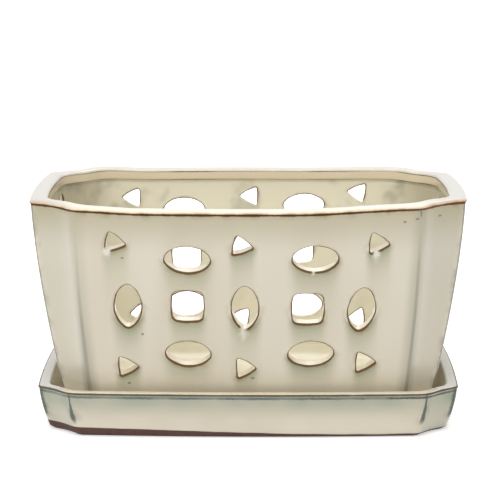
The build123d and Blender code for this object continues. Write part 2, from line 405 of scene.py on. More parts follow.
class Shell:
    """Points and faces of one closed piece, with a few numbers kept at each point for its finish."""

    net_step: float = 5 * MM
    border_clear: float = 2 * MM
    hole_clear: float = 1.5 * MM
    merge_gap: float = 1e-5

    def __init__(self, **marks: float) -> None:
        """Starts an empty shell.

        Args:
            marks: Names of the numbers kept at each point, with the values they take unless given.
        """
        self.parts: list[Array] = []
        self.faces: list[list[int]] = []
        self.defaults = marks
        self.marks: dict[str, list[Array]] = {name: [] for name in marks}
        self.count = 0

    @property
    def points(self) -> Array:
        """All points so far."""
        return np.vstack(self.parts)

    def mark(self, name: str) -> Array:
        """One of the kept numbers, at all points so far."""
        return np.concatenate(self.marks[name])

    def add(self, points: Array, **marks: Array | float) -> Array:
        """Adds points.

        Args:
            points: Rows of x, y, z.
            marks: Values of some of the kept numbers.

        Returns:
            The numbers of the new points.
        """
        size = len(points)
        self.parts.append(np.asarray(points, float))
        for name, default in self.defaults.items():
            self.marks[name].append(np.broadcast_to(np.asarray(marks.get(name, default), float), (size,)))
        self.count += size
        return np.arange(self.count - size, self.count)

    def bridge(self, low: Array, high: Array, columns: Array | None = None) -> None:
        """Joins two loops with four-sided faces.

        Args:
            low: Point numbers of the loop that comes first on the way over the shell.
            high: Point numbers of the next loop.
            columns: Places where the faces start, the whole loop unless given.
        """
        size = len(low)
        for here in range(size) if columns is None else columns:
            after = (here + 1) % size
            self.faces.append([low[here], low[after], high[after], high[here]])

    def stack(self, rings: list[Array]) -> None:
        """Joins a run of loops, each to the next."""
        for low, high in zip(rings, rings[1:]):
            self.bridge(low, high)

    def strip(self, form: Form, levels: list[Level], **marks: Array | float) -> list[Array]:
        """Adds a run of whole loops, each joined to the next.

        Args:
            form: Outlines of the loops.
            levels: Levels of the loops.
            marks: Numbers kept at their points, the same on all loops or one for each.

        Returns:
            Point numbers of the loops.
        """
        rings = []
        for row, level in enumerate(levels):
            here = {name: value[row] if np.ndim(value) else value for name, value in marks.items()}
            rings.append(self.add(form.loop(level), **form.ear_gaps(level), **here))
        self.stack(rings)
        return rings

    def fill(
        self, border: Array, holes: list[Array], free: Array, plane: Callable[[Array], Array], upward: bool
    ) -> None:
        """Fills an outline with triangles, round its holes.

        Args:
            border: Point numbers of the outline.
            holes: Point numbers of the loops that stay open.
            free: Point numbers inside the outline.
            plane: Gives the flat places of points.
            upward: Whether the faces turn anticlockwise in that plane.
        """
        ids = np.concatenate([border, *holes, free])
        flat = plane(self.points[ids])
        edges, start = [], 0
        for loop in (border, *holes):
            edges += [(start + i, start + (i + 1) % len(loop)) for i in range(len(loop))]
            start += len(loop)
        made = delaunay_2d_cdt([Vector(p) for p in flat / MM], edges, [], 0, self.merge_gap)
        faces, origins = made[2:4]
        source = [origin[0] if origin else -1 for origin in origins]
        triangles = np.array([[source[v] for v in face] for face in faces if len(face) == 3])
        triangles = triangles[(triangles >= 0).all(axis=1)]
        corners = flat[triangles]
        first, second = corners[:, 1] - corners[:, 0], corners[:, 2] - corners[:, 0]
        area = first[:, 0] * second[:, 1] - first[:, 1] * second[:, 0]
        middles = corners.mean(axis=1)
        everything = self.points
        keep = within(middles, plane(everything[border]))
        for hole in holes:
            keep &= ~within(middles, plane(everything[hole]))
        for triangle, sign in zip(triangles[keep], area[keep]):
            turned = triangle if (sign > 0) == upward else triangle[::-1]
            self.faces.append(ids[turned].tolist())

    def plate(self, border: Array, holes: list[Array], upward: bool, **marks: float) -> None:
        """Fills a level outline with an even net of triangles.

        Args:
            border: Point numbers of the outline.
            holes: Point numbers of the loops that stay open.
            upward: Whether the plate faces up.
            marks: Numbers kept at the plate's points.
        """
        outline = self.points[border]
        low, high = outline.min(axis=0), outline.max(axis=0)
        across, deep = (np.arange(low[axis], high[axis], self.net_step) for axis in (0, 1))
        net = np.array([(x, y) for x in across for y in deep])
        keep = within(net, from_above(outline)) & (gap_to(net, from_above(outline)) > self.border_clear)
        for hole in holes:
            loop = from_above(self.points[hole])
            keep &= ~within(net, loop) & (gap_to(net, loop) > self.hole_clear)
        net = net[keep]
        free = self.add(np.column_stack([net, np.full(len(net), outline[0, 2])]), **marks)
        self.fill(border, holes, free, from_above, upward)

    def make(self, name: str) -> bpy.types.Object:
        """Turns the shell into an object.

        Args:
            name: Name of the object and its mesh.

        Returns:
            The new object, in the scene.
        """
        mesh = bpy.data.meshes.new(name)
        mesh.from_pydata(self.points.tolist(), [], self.faces)
        keep_marks(mesh, {name: self.mark(name) for name in self.marks})
        mesh.polygons.foreach_set("use_smooth", np.ones(len(mesh.polygons), bool))
        mesh.update()
        piece = bpy.data.objects.new(name, mesh)
        bpy.context.scene.collection.objects.link(piece)
        return piece


@dataclass(frozen=True)
class Slot:
    """One slot on a wall: its outline, its place along the wall, its height, and its lean in degrees."""

    shape: SlotShape
    along: float
    height: float
    tilt: float = 0.0


@dataclass(frozen=True)
class HandCut:
    """How the hand strayed from the regular layout on one wall.

    Columns count from the left and rows from the bottom. Drifts are in millimetres; a stray slot has
    its own drift along the wall, its own drift up it, and its own lean in degrees.
    """

    columns: tuple[float, ...]
    rows: tuple[float, ...]
    strays: dict[tuple[int, int], Point]

    def moved(self, slots: list[Slot]) -> list[Slot]:
        """Moves regular slots to where they were cut.

        Args:
            slots: Slots of the wall, bottom to top in columns from the left.

        Returns:
            The moved slots, in the same order.
        """
        cut = []
        for number, slot in enumerate(slots):
            column, row = divmod(number, len(self.rows))
            along, up, lean = self.strays.get((column, row), (0, 0, 0))
            along, up = along + self.columns[column], up + self.rows[row]
            cut.append(Slot(slot.shape, slot.along + along * MM, slot.height + up * MM, slot.tilt + lean))
        return cut


def hand_cuts() -> dict[Wall, HandCut]:
    """The two long walls as they were cut.

    Returns:
        How the hand strayed, by wall. The short walls keep the regular layout.
    """
    front = HandCut(
        columns=(-1, -0.5, -1.5, 2.5, 0),
        rows=(-1, -1.5, -1.5),
        strays={
            (0, 0): (0, 0, 4), (0, 2): (0.5, 1, -4), (1, 1): (0, 1, -3), (2, 0): (1, 0, 6),
            (2, 2): (-0.5, 0, -5), (3, 1): (-2, -0.5, 0), (3, 2): (2, 0.5, 0), (4, 0): (1, 3, 0),
            (4, 1): (-2.5, -1.5, -7), (4, 2): (1.5, 0.5, -3),
        },
    )
    back = HandCut(
        columns=(0, 0, 3.5, 6.5, 3),
        rows=(-2.5, 0.5, 1),
        strays={
            (0, 2): (5.5, 2, 10), (1, 1): (2, 3.5, 0), (1, 2): (-1, 1.4, 0), (2, 0): (3, 0.5, 12),
            (2, 2): (-2.5, -0.5, 4), (3, 2): (1.5, -1.3, 0), (4, 0): (1, 3, 0), (4, 2): (-0.5, -1.8, 6),
        },
    )
    return {Wall.FRONT: front, Wall.BACK: back}


@dataclass(frozen=True)
class Spot:
    """A small mark on the pot's front: its place across and up, and its half sizes."""

    x: float
    z: float
    wide: float
    tall: float


def spots(*places: tuple[float, float, float, float]) -> tuple[Spot, ...]:
    """Marks from their places and half sizes in millimetres."""
    return tuple(Spot(*(value * MM for value in place)) for place in places)


@dataclass
class SlotPattern:
    """The slots of the four walls, each with softened mouths, placed by one Geometry Nodes tree."""

    cuts: dict[Wall, HandCut] = field(default_factory=hand_cuts)

    # Width, height and corner radius of each outline, its corners and its share of an ellipse
    triangle: Point = (12.5 * MM, 14.2 * MM, 1.1 * MM)
    leaf: Point = (15.6 * MM, 27 * MM, 2.5 * MM)
    oval: Point = (27 * MM, 15.8 * MM, 4 * MM)
    square: Point = (17.8 * MM, 18.4 * MM, 3 * MM)
    triangle_corners: tuple[Band, ...] = ((-0.5, -0.5), (0.5, -0.06), (-0.42, 0.5))
    square_corners: tuple[Band, ...] = ((-0.5, -0.5), (0.5, -0.5), (0.5, 0.5), (-0.5, 0.5))
    triangle_middle: float = -0.125
    triangle_swell: float = 0.15
    leaf_swell: Band = (0.15, 0.75)
    leaf_swell_span: Band = (-1 / 3, 1 / 2)
    oval_swell: float = 0.5
    square_swell: float = 0.25
    square_ellipse: float = 1.14

    # Layout on the wall
    middle_row: float = 79 * MM
    row_rise: float = 37 * MM
    oval_inset: float = 8.5 * MM
    top_spread: float = 6 * MM

    # Mouths: their rounding, the rings on the faces round them, and the rings at shares of the wall
    wall: float = 7.5 * MM
    mouth_radius: float = 0.9 * MM
    inner_radius: float = 0.9 * MM
    tightening: float = 0.3 * MM
    sill_clear: float = 1.5
    face_rings: tuple[float, ...] = (1.5 * MM, 0.8 * MM, 0.3 * MM)
    tunnel_rings: tuple[float, ...] = (0.35, 0.55, 0.72)
    inner_ring: float = 0.5 * MM
    mouth_steps: int = 6
    inner_steps: int = 4
    corner_steps: int = 10
    side_steps: int = 24
    tip_steps: int = 8
    fine_points: int = 120
    points_round: int = 48

    # The hand's wobble
    hand_wobble: float = 0.5 * MM
    wobble_size: float = 110.0
    hand_tilt: float = math.radians(2.5)
    seed: int = 7

    def outline(self, shape: SlotShape) -> Array:
        """Draws the outline of a slot.

        Args:
            shape: Which outline.

        Returns:
            Equally spaced points, anticlockwise seen from outside.
        """
        if shape is SlotShape.TRIANGLE:
            width, height, radius = self.triangle
            middle = np.array([self.triangle_middle * width, 0])
            straight = self.cornered(self.triangle_corners, width, height, radius)
            fine = self.swollen(straight - middle, width, height, self.triangle_swell) + middle
        elif shape is SlotShape.SQUARE:
            width, height, radius = self.square
            straight = self.cornered(self.square_corners, width, height, radius)
            ellipse = self.square_ellipse * width, self.square_ellipse * height
            fine = self.swollen(straight, *ellipse, self.square_swell)
        elif shape is SlotShape.LEAF:
            width, height, radius = self.leaf
            foot, tip = self.leaf_swell
            straight = self.spaced(self.lens(width, height, radius), self.fine_points)
            share = foot + (tip - foot) * smooth(*self.leaf_swell_span, straight[:, 1:] / height)
            fine = self.swollen(straight, width, height, share)
        else:
            width, height, radius = self.oval
            straight = self.spaced(self.lens(height, width, radius)[:, ::-1] * [1, -1], self.fine_points)
            fine = self.swollen(straight, width, height, self.oval_swell)
        return self.spaced(fine, self.points_round)

    @staticmethod
    def swollen(outline: Array, width: float, height: float, share: Array | float) -> Array:
        """Eases an outline towards an ellipse.

        Args:
            outline: Points of the outline.
            width: Width of the ellipse.
            height: Height of the ellipse.
            share: Share of the ellipse in the result.

        Returns:
            The eased points.
        """
        turn = np.arctan2(outline[:, 1] / height, outline[:, 0] / width)
        ellipse = np.column_stack([width * np.cos(turn), height * np.sin(turn)]) / 2
        return outline * (1 - share) + ellipse * share

    @staticmethod
    def spaced(fine: Array, count: int) -> Array:
        """Divides a closed outline evenly.

        Args:
            fine: Points of the outline, in order.
            count: Number of points wanted.

        Returns:
            Equally spaced points.
        """
        closed = np.vstack([fine, fine[:1]])
        run = run_along(closed)
        stops = np.linspace(0, run[-1], count, endpoint=False)
        return np.column_stack([np.interp(stops, run, closed[:, axis]) for axis in (0, 1)])

    def cornered(self, corners: tuple[Band, ...], width: float, height: float, radius: float) -> Array:
        """Draws a straight-sided outline with rounded corners.

        Args:
            corners: Places of the corners, as shares of the width and height.
            width: Width of the outline.
            height: Height of the outline.
            radius: Radius of the corners.

        Returns:
            Equally spaced points.
        """
        points = np.array([(x * width, y * height) for x, y in corners])
        parts = []
        for before, here, after in zip(np.roll(points, 1, axis=0), points, np.roll(points, -1, axis=0)):
            back = (before - here) / np.linalg.norm(before - here)
            on = (after - here) / np.linalg.norm(after - here)
            half = math.acos(float(np.clip(back @ on, -1, 1))) / 2
            run = radius / math.tan(half)
            middle = (back + on) / np.linalg.norm(back + on) * radius / math.sin(half)
            parts.append(arc(here + middle, here + back * run, here + on * run, self.corner_steps))
        return self.spaced(np.vstack(parts), self.fine_points)

    def lens(self, width: float, height: float, radius: float) -> Array:
        """Draws two arcs that meet in rounded tips, above and below.

        Args:
            width: Width between the arcs.
            height: Height from tip to tip, before they are rounded.
            radius: Radius of the tips.

        Returns:
            Points of the outline.
        """
        size = (height**2 + width**2) / (4 * width)
        centre = width / 2 - size
        tip = math.sqrt((size - radius) ** 2 - centre**2)
        way = np.array([-centre, tip]) / (size - radius)
        top = np.array([centre, 0]) + way * size
        right = arc(np.array([centre, 0]), top * [1, -1], top, self.side_steps)
        cap = arc(np.array([0, tip]), top, top * [-1, 1], self.tip_steps)
        half = np.vstack([right[:-1], cap[:-1]])
        return np.vstack([half, -half])

    def mouth_profile(self) -> dict[str, Array]:
        """Way from the outer face through a slot to the inner face.

        Returns:
            Offset from the slot's outline, depth from the outer face, gaps from the outer and inner
            edges in millimetres, and how far each ring belongs to the tunnel and to the inside.
        """
        outer, inner, wall = self.mouth_radius, self.inner_radius, self.wall
        rows = [(outer + ring, 0.0) for ring in self.face_rings]
        rows += [(outer * short, outer * far) for far, short in rounding(self.mouth_steps)]
        rows += [(0.0, share * wall) for share in self.tunnel_rings]
        rows += [(inner * far, wall - inner * short) for far, short in rounding(self.inner_steps)]
        rows += [(inner + self.inner_ring, wall)]
        places = np.array(rows)
        run = run_along(places)

        # Each edge is the middle of a rounding
        outer_edge = run[len(self.face_rings) + self.mouth_steps // 2]
        inner_edge = run[-2 - self.inner_steps // 2]
        return {
            "offset": places[:, 0] - self.tightening,
            "depth": places[:, 1],
            "outer_gap": np.abs(run - outer_edge) / MM,
            "inner_gap": np.abs(run - inner_edge) / MM,
            "tunnel": ((run > outer_edge) & (run < inner_edge)).astype(float),
            "inside": (run > inner_edge).astype(float),
        }

    def cutter(self, shape: SlotShape, folder: bpy.types.Collection) -> bpy.types.Object:
        """Makes the mouths and tunnel of one slot on a flat wall, with the numbers the finish needs.

        Args:
            shape: Which outline.
            folder: Collection that gets it.

        Returns:
            The object that the slot tree places.
        """
        outline = self.outline(shape)
        ahead = np.roll(outline, -1, axis=0) - np.roll(outline, 1, axis=0)
        normal = np.column_stack([ahead[:, 1], -ahead[:, 0]]) / np.linalg.norm(ahead, axis=1)[:, None]
        profile = self.mouth_profile()
        size, rings = len(outline), len(profile["depth"])
        flat = outline[None] + profile["offset"][:, None, None] * normal[None]
        points = np.column_stack([flat.reshape(-1, 2), np.repeat(profile["depth"], size)])
        here = np.arange(rings * size).reshape(rings, size)
        after = np.roll(here, -1, axis=1)
        faces = np.stack([here[:-1], after[:-1], after[1:], here[1:]], axis=-1).reshape(-1, 4)
        mesh = bpy.data.meshes.new(f"slot_{shape.value}_{shape.name.lower()}")
        mesh.from_pydata(points.tolist(), [], faces.tolist())
        marks = {name: np.repeat(profile[name], size) for name in ("tunnel", "inside")}
        inner_gap = profile["inner_gap"][:, None] + self.sill_clear * np.clip(-normal[:, 1], 0, 1)
        marks["edge_gap"] = np.minimum(profile["outer_gap"][:, None], inner_gap).ravel()
        marks["slot_ring"] = np.repeat(np.arange(rings), size)
        marks["slot_step"] = np.tile(np.arange(size), rings)
        marks["sill"] = np.tile(-normal[:, 1], rings)
        keep_marks(mesh, marks)
        cutter = bpy.data.objects.new(mesh.name, mesh)
        folder.objects.link(cutter)
        return cutter

    def regular(self, columns: int, pitch: float) -> list[Slot]:
        """Lays out the slots of one wall: triangles and leaves, with ovals and squares between.

        Args:
            columns: Columns on each side of the middle one.
            pitch: Distance between columns.

        Returns:
            The slots, bottom to top in columns from the left.
        """
        slots = []
        low, middle, high = self.middle_row - self.row_rise, self.middle_row, self.middle_row + self.row_rise
        for column in range(-columns, columns + 1):
            x = column * pitch
            if (column + columns) % 2 == 0:
                slots.append(Slot(SlotShape.TRIANGLE, x, low))
                slots.append(Slot(SlotShape.LEAF, x, middle))
                slots.append(Slot(SlotShape.TRIANGLE, x + self.top_spread * column / columns, high))
            else:
                slots.append(Slot(SlotShape.OVAL, x, low + self.oval_inset))
                slots.append(Slot(SlotShape.SQUARE, x, middle))
                slots.append(Slot(SlotShape.OVAL, x, high - self.oval_inset))
        return slots

    def tree(self) -> bpy.types.NodeTree:
        """Builds the Geometry Nodes tree that sets a cut mouth at each slot's place, with a hand-cut wobble.

        Returns:
            The tree.
        """
        tree = bpy.data.node_groups.new("slot_pattern", "GeometryNodeTree")
        for name, kind in (
            ("Geometry", "Geometry"), ("Slot shapes", "Collection"), ("Hand tilt", "Float"),
            ("Hand wobble", "Float"), ("Wobble size", "Float"), ("Seed", "Int"), ("Glaze", "Material"),
        ):
            tree.interface.new_socket(name, in_out="INPUT", socket_type=f"NodeSocket{kind}")
        tree.interface.new_socket("Geometry", in_out="OUTPUT", socket_type="NodeSocketGeometry")
        board = Board(tree)
        given = board.put("NodeGroupInput").outputs
        shapes = board.put(
            "GeometryNodeCollectionInfo",
            {"Collection": given["Slot shapes"], "Separate Children": True, "Reset Children": True},
        )

        # Each slot's own shape and lean, and a little more lean from the hand
        pick = board.put("GeometryNodeInputNamedAttribute", {"Name": "shape"}, data_type="INT")
        lean = board.put("GeometryNodeInputNamedAttribute", {"Name": "tilt"}, data_type="FLOAT")
        least = board.math("MULTIPLY", given["Hand tilt"], -1.0)
        chance = board.put(
            "FunctionNodeRandomValue", {2: least, 3: given["Hand tilt"], "Seed": given["Seed"]},
            data_type="FLOAT",
        )
        turn = board.math("ADD", lean.outputs["Attribute"], chance.outputs[1])
        euler = board.put("ShaderNodeCombineXYZ", {"Z": turn})
        rotation = board.put("FunctionNodeEulerToRotation", {0: euler.outputs[0]})
        placed = board.put(
            "GeometryNodeInstanceOnPoints",
            {
                "Points": given["Geometry"], "Instance": shapes.outputs[0], "Pick Instance": True,
                "Instance Index": pick.outputs["Attribute"], "Rotation": rotation.outputs[0],
            },
        )
        real = board.put("GeometryNodeRealizeInstances", {0: placed.outputs[0]})

        # Wobble along the wall, the same at every depth of a slot
        where = board.put("GeometryNodeInputPosition")
        level = board.vector("MULTIPLY", where.outputs[0], (1, 1, 0))[0]
        noise = board.put(
            "ShaderNodeTexNoise",
            {"Vector": level, "W": given["Seed"], "Scale": given["Wobble size"]},
            noise_dimensions="4D",
        )
        centred = board.vector("SUBTRACT", noise.outputs["Color"], (0.5, 0.5, 0.5))[0]
        flat = board.vector("MULTIPLY", centred, (2, 2, 0))[0]
        sized = board.put("ShaderNodeVectorMath", {0: flat, "Scale": given["Hand wobble"]}, operation="SCALE")
        moved = board.put("GeometryNodeSetPosition", {0: real.outputs[0], "Offset": sized.outputs[0]})
        dressed = board.put("GeometryNodeSetMaterial", {0: moved.outputs[0], "Material": given["Glaze"]})
        board.put("NodeGroupOutput", {0: dressed.outputs[0]})
        return tree

    def lay_out(
        self, slots: list[Slot], lean: float, glaze: bpy.types.Material, seed: int
    ) -> dict[str, Array]:
        """Runs the tree for one wall.

        Args:
            slots: The wall's slots.
            lean: Lean of the wall, up which the slots are measured.
            glaze: Finish of the wall.
            seed: Seed of the hand's wobble on this wall.

        Returns:
            Flat points, faces and the numbers kept at each point, by name.
        """
        folder = bpy.data.collections.new("slot_shapes")
        cutters = [self.cutter(shape, folder) for shape in SlotShape]
        mesh = bpy.data.meshes.new("slot_places")
        rises = [(slot.height - self.middle_row) / math.cos(lean) for slot in slots]
        mesh.from_pydata([(slot.along, rise, 0) for slot, rise in zip(slots, rises)], [], [])
        rows = {
            "shape": ("INT", [slot.shape.value for slot in slots]),
            "slot_number": ("INT", list(range(len(slots)))),
            "tilt": ("FLOAT", [math.radians(slot.tilt) for slot in slots]),
        }
        for name, (kind, values) in rows.items():
            mesh.attributes.new(name, kind, "POINT").data.foreach_set("value", values)
        places = bpy.data.objects.new("slot_places", mesh)
        bpy.context.scene.collection.objects.link(places)
        tree = bpy.data.node_groups.get("slot_pattern") or self.tree()
        pattern = places.modifiers.new("slot_pattern", "NODES")
        pattern.node_group = tree
        inputs = {
            "Slot shapes": folder, "Hand tilt": self.hand_tilt, "Hand wobble": self.hand_wobble,
            "Wobble size": self.wobble_size, "Seed": seed, "Glaze": glaze,
        }
        for socket in tree.interface.items_tree:
            if socket.in_out == "INPUT" and socket.name in inputs:
                pattern[socket.identifier] = inputs[socket.name]
        bpy.context.view_layer.update()
        graph = bpy.context.evaluated_depsgraph_get()
        real = bpy.data.meshes.new_from_object(places.evaluated_get(graph))
        size = len(real.vertices)
        flat = np.zeros(size * 3)
        real.vertices.foreach_get("co", flat)
        laid: dict[str, Array] = {"flat": flat.reshape(-1, 3)}
        for name in ("slot_number", "slot_ring", "slot_step", "edge_gap", "tunnel", "inside", "sill"):
            values = np.zeros(size, np.int32 if name == "slot_number" else np.float32)
            real.attributes[name].data.foreach_get("value", values)
            laid[name] = values.astype(float)
        laid["faces"] = np.array([list(face.vertices) for face in real.polygons])
        bpy.data.objects.remove(places)
        for cutter in cutters:
            bpy.data.objects.remove(cutter)
        bpy.data.collections.remove(folder)
        return laid


@dataclass
class OrchidPot:
    """The pot: tapered body with slotted walls, a rolled rim over an inner bead, a floor with two drains."""

    form: Form = field(default_factory=Form)
    slots: SlotPattern = field(default_factory=SlotPattern)
    seat: float = 7 * MM
    height: float = 130 * MM
    taper_power: float = 1.5
    wall: float = 7.5 * MM
    floor: float = 8 * MM
    cove: float = 6 * MM

    # Long walls and short walls: mean lean, columns of slots beside the middle one, and their pitch
    leans: Band = (math.atan2(23, 130), math.atan2(20.5, 130))
    columns: tuple[int, int] = (2, 1)
    pitches: Band = (33.35 * MM, 29.6 * MM)

    # Corners: depth of their hollows and radii of their ears
    rim_scoop: float = 3.5 * MM
    base_scoop: float = 1.5 * MM
    floor_scoop: float = -1 * MM
    rim_ear: float = 13 * MM
    rim_ear_taper: float = 3.0
    long_ear: float = 7 * MM
    short_ear: float = 3 * MM
    rim_inside_ear: float = 20 * MM
    inside_ear: float = 10 * MM

    # Rim; a roll's rows are heights and reaches in millimetres, and its lines lie on rows of the path
    rim_width: float = 9.5 * MM
    rim_round: float = 2 * MM
    rim_fall: float = 0.15 * MM
    rim_shares: tuple[float, ...] = (0.3, 0.6, 1.0)
    rim_steps: int = 8
    crown_width: float = 3.6 * MM
    crown_drop: float = 0.7 * MM
    crown_steps: int = 9
    lip_out: float = 0.75 * MM
    lip_height: float = 2.2 * MM
    lip_roll: tuple[Band, ...] = (
        (-0.9, 0.0), (-0.3, -0.03), (-0.1, -0.12), (0.0, -0.3), (0.1, -0.5), (0.3, -0.68),
    )
    bead_height: float = 6.9 * MM
    bead_slope: float = 2.5 * MM
    bead_roll: tuple[Band, ...] = (
        (2.2, 0.0), (0.8, 0.0), (0.3, -0.05), (0.0, -0.2),
        (-0.3, -0.5), (-0.9, -1.1), (-1.6, -1.6), (-2.1, -1.9),
    )
    lip_row: int = 3
    edge_row: int = 26
    bead_row: int = -5

    # Foot and drains
    base_round: float = 2 * MM
    base_steps: int = 5
    base_from: float = 11 * MM
    base_levels: int = 6
    foot_width: float = 10 * MM
    foot_rise: float = 2.5 * MM
    recess_roll: tuple[Band, ...] = ((0.0, 0.5), (-0.3, 0.0))
    foot_roll: tuple[Band, ...] = ((0.5, 0.0), (0.1, -0.2), (0.0, -0.7))
    foot_insets: tuple[float, ...] = (6 * MM, 3.5 * MM)
    weep_width: float = 12 * MM
    weep_from: float = 30 * MM
    weep_share: float = 0.95
    drain: float = 20 * MM
    drain_spacing: float = 100 * MM
    drain_soft: float = 1.2 * MM
    drain_margin: float = 1.5 * MM
    drain_line: float = 0.35 * MM
    drain_steps: int = 4
    drain_points: int = 40

    # Levels of the slotted faces, and how near to a slot their points come
    slotted_from: float = 24 * MM
    under_lip: float = 1.6 * MM
    over_cove: float = 3 * MM
    cove_lead: float = 1.2 * MM
    cove_steps: int = 7
    wall_levels: int = 44
    slot_clear: float = 0.9 * MM
    laying_rounds: int = 6

    # Sag of the rim, and the stretches along and across the pot over which it changes
    middle_sag: float = 2.5 * MM
    left_sag: float = 1.3 * MM
    back_right_sag: float = 1.5 * MM
    sag_from: float = 108 * MM
    left_end: Band = (-95 * MM, -60 * MM)
    right_end: Band = (25 * MM, 95 * MM)
    back_end: Band = (-60 * MM, 60 * MM)

    # Glaze gathered below the slots, in millimetres from their sills, and where it ran over an edge
    facing_from: float = 40 * MM
    pool_lift: float = 1.8
    pool_start: Band = (-1.5, 0.5)
    pool_sides: Band = (1.15, 0.55)
    pool_reach: float = 4.5
    wash_reach: float = 14.0
    drip_edge: Band = (1.15, 0.6)
    drips: tuple[Spot, ...] = spots(
        (-79.0, 110.5, 2.6, 3.0), (-2.6, 63.0, 2.0, 4.6), (72.0, 108.6, 2.2, 3.4), (36.5, 98.6, 1.0, 1.2)
    )

    @property
    def top(self) -> float:
        """Height of the rim."""
        return self.seat + self.height

    def share(self, z: Array | float) -> Array | float:
        """Share of the taper, 0 at the rim and 1 at the underside."""
        return np.clip((self.top - z) / self.height, 0, 1) ** self.taper_power

    def outer(self, z: float) -> Level:
        """Draws an outer level of the wall.

        Args:
            z: Height.

        Returns:
            The level.
        """
        share = float(self.share(z))
        scoop = self.form.mixed(self.rim_scoop, self.base_scoop, share)
        long_ear = self.form.mixed(self.rim_ear, self.long_ear, min(self.rim_ear_taper * share, 1))
        return Level(z, share, 0.0, scoop, long_ear, self.short_ear)

    def inner(self, z: float, extra: float = 0.0) -> Level:
        """Draws an inner level of the wall.

        Args:
            z: Height.
            extra: How much further it is drawn in, in the floor's cove.

        Returns:
            The level.
        """
        share = float(self.share(z))
        scoop = self.form.mixed(self.rim_scoop, self.floor_scoop, share)
        ear = self.form.mixed(self.rim_inside_ear, self.inside_ear, share) - extra
        return Level(z, share, self.wall + extra, scoop, ear, ear)

    def over_rim(self, z: float, inset: float) -> Level:
        """Draws a level of the rim, whose ears widen from the outside to the inside.

        Args:
            z: Height.
            inset: How far it is drawn in.

        Returns:
            The level.
        """
        across = min(max((inset + self.lip_out) / (self.rim_width + self.lip_out), 0), 1)
        long_ear = self.form.mixed(self.rim_ear, self.rim_inside_ear, across)
        short_ear = self.form.mixed(self.short_ear, self.rim_inside_ear, across)
        return Level(z, 0.0, inset, self.rim_scoop, long_ear, short_ear)

    def under_foot(self, z: float, inset: float) -> Level:
        """Draws a level of the underside, whose ears widen from the outside to the recess.

        Args:
            z: Height.
            inset: How far it is drawn in.

        Returns:
            The level.
        """
        across = min(max(inset / self.foot_width, 0), 1)
        long_ear = self.form.mixed(self.long_ear, self.inside_ear, across)
        short_ear = self.form.mixed(self.short_ear, self.inside_ear, across)
        return Level(z, float(self.share(z)), inset, self.base_scoop, long_ear, short_ear)

    def outer_levels(self) -> list[Level]:
        """Levels of the wall's slotted outer face, from the lowest up."""
        top = self.top - self.lip_height - self.under_lip
        return [self.outer(z) for z in np.linspace(self.slotted_from, top, self.wall_levels)]

    def inner_levels(self) -> list[Level]:
        """Levels of the wall's slotted inner face.

        Returns:
            The levels, from the bead down to the floor's cove.
        """
        top = self.top - self.bead_height - self.bead_slope
        low = self.seat + self.floor + self.cove + self.over_cove
        return [self.inner(z) for z in np.linspace(top, low, self.wall_levels)]

    def foot_levels(self) -> list[Level]:
        """Levels of the underside.

        Returns:
            The levels, from the recess under the floor to the top of the rounded base.
        """
        recess, wide = self.seat + self.foot_rise, self.foot_width
        path = [(recess + rise * MM, wide + reach * MM) for rise, reach in self.recess_roll]
        path += [(self.seat + rise * MM, wide + reach * MM) for rise, reach in self.foot_roll]
        path += [(self.seat, inset) for inset in self.foot_insets]
        size = self.base_round
        path += [(self.seat + size * far, size * short) for far, short in rounding(self.base_steps)]
        return [self.under_foot(z, inset) for z, inset in path]

    def cove_levels(self) -> list[Level]:
        """Levels of the cove between wall and floor.

        Returns:
            The levels, from above the cove down to the floor.
        """
        top = self.seat + self.floor + self.cove
        levels = [self.inner(top + self.cove_lead)]
        for far, short in rounding(self.cove_steps)[::-1]:
            levels.append(self.inner(top - self.cove * (1 - far), self.cove * short))
        return levels

    def rim_path(self) -> Array:
        """Way over the rim from under the lip to the top of the inner wall.

        Returns:
            Rows of height and inset.
        """
        top, low, bead = self.top, self.top - self.lip_height, self.top - self.bead_height
        path = [(low + rise * MM, reach * MM) for rise, reach in self.lip_roll]
        climb = self.lip_height - self.crown_drop
        for far, short in rounding(self.crown_steps):
            path.append((top - climb * short, self.crown_width * far - self.lip_out))
        outer, inner = self.crown_width - self.lip_out, self.rim_width - self.rim_round
        for share in self.rim_shares:
            path.append((top - self.rim_fall * share**2, self.form.mixed(outer, inner, share)))
        for far, short in rounding(self.rim_steps)[1:]:
            path.append((top - self.rim_fall - self.rim_round * far, self.rim_width - self.rim_round * short))
        path += [(bead + rise * MM, self.rim_width + reach * MM) for rise, reach in self.bead_roll]
        return np.array(path)

    def rim_marks(self, path: Array) -> dict[str, Array]:
        """Numbers kept along the rim's path.

        Args:
            path: Rows of height and inset, from the top of the outer wall to that of the inner one.

        Returns:
            Gaps from the lip's and the bead's lines, and which rows are rim and which inside.
        """
        run = run_along(path) / MM
        lip, edge, bead = run[self.lip_row], run[self.edge_row], run[self.bead_row]
        return {
            "lip_gap": run - lip,
            "bead_gap": np.minimum(np.abs(run - edge), np.abs(run - bead)),
            "rim": (run > lip).astype(float) * (run < bead),
            "inside": (run >= bead).astype(float),
        }

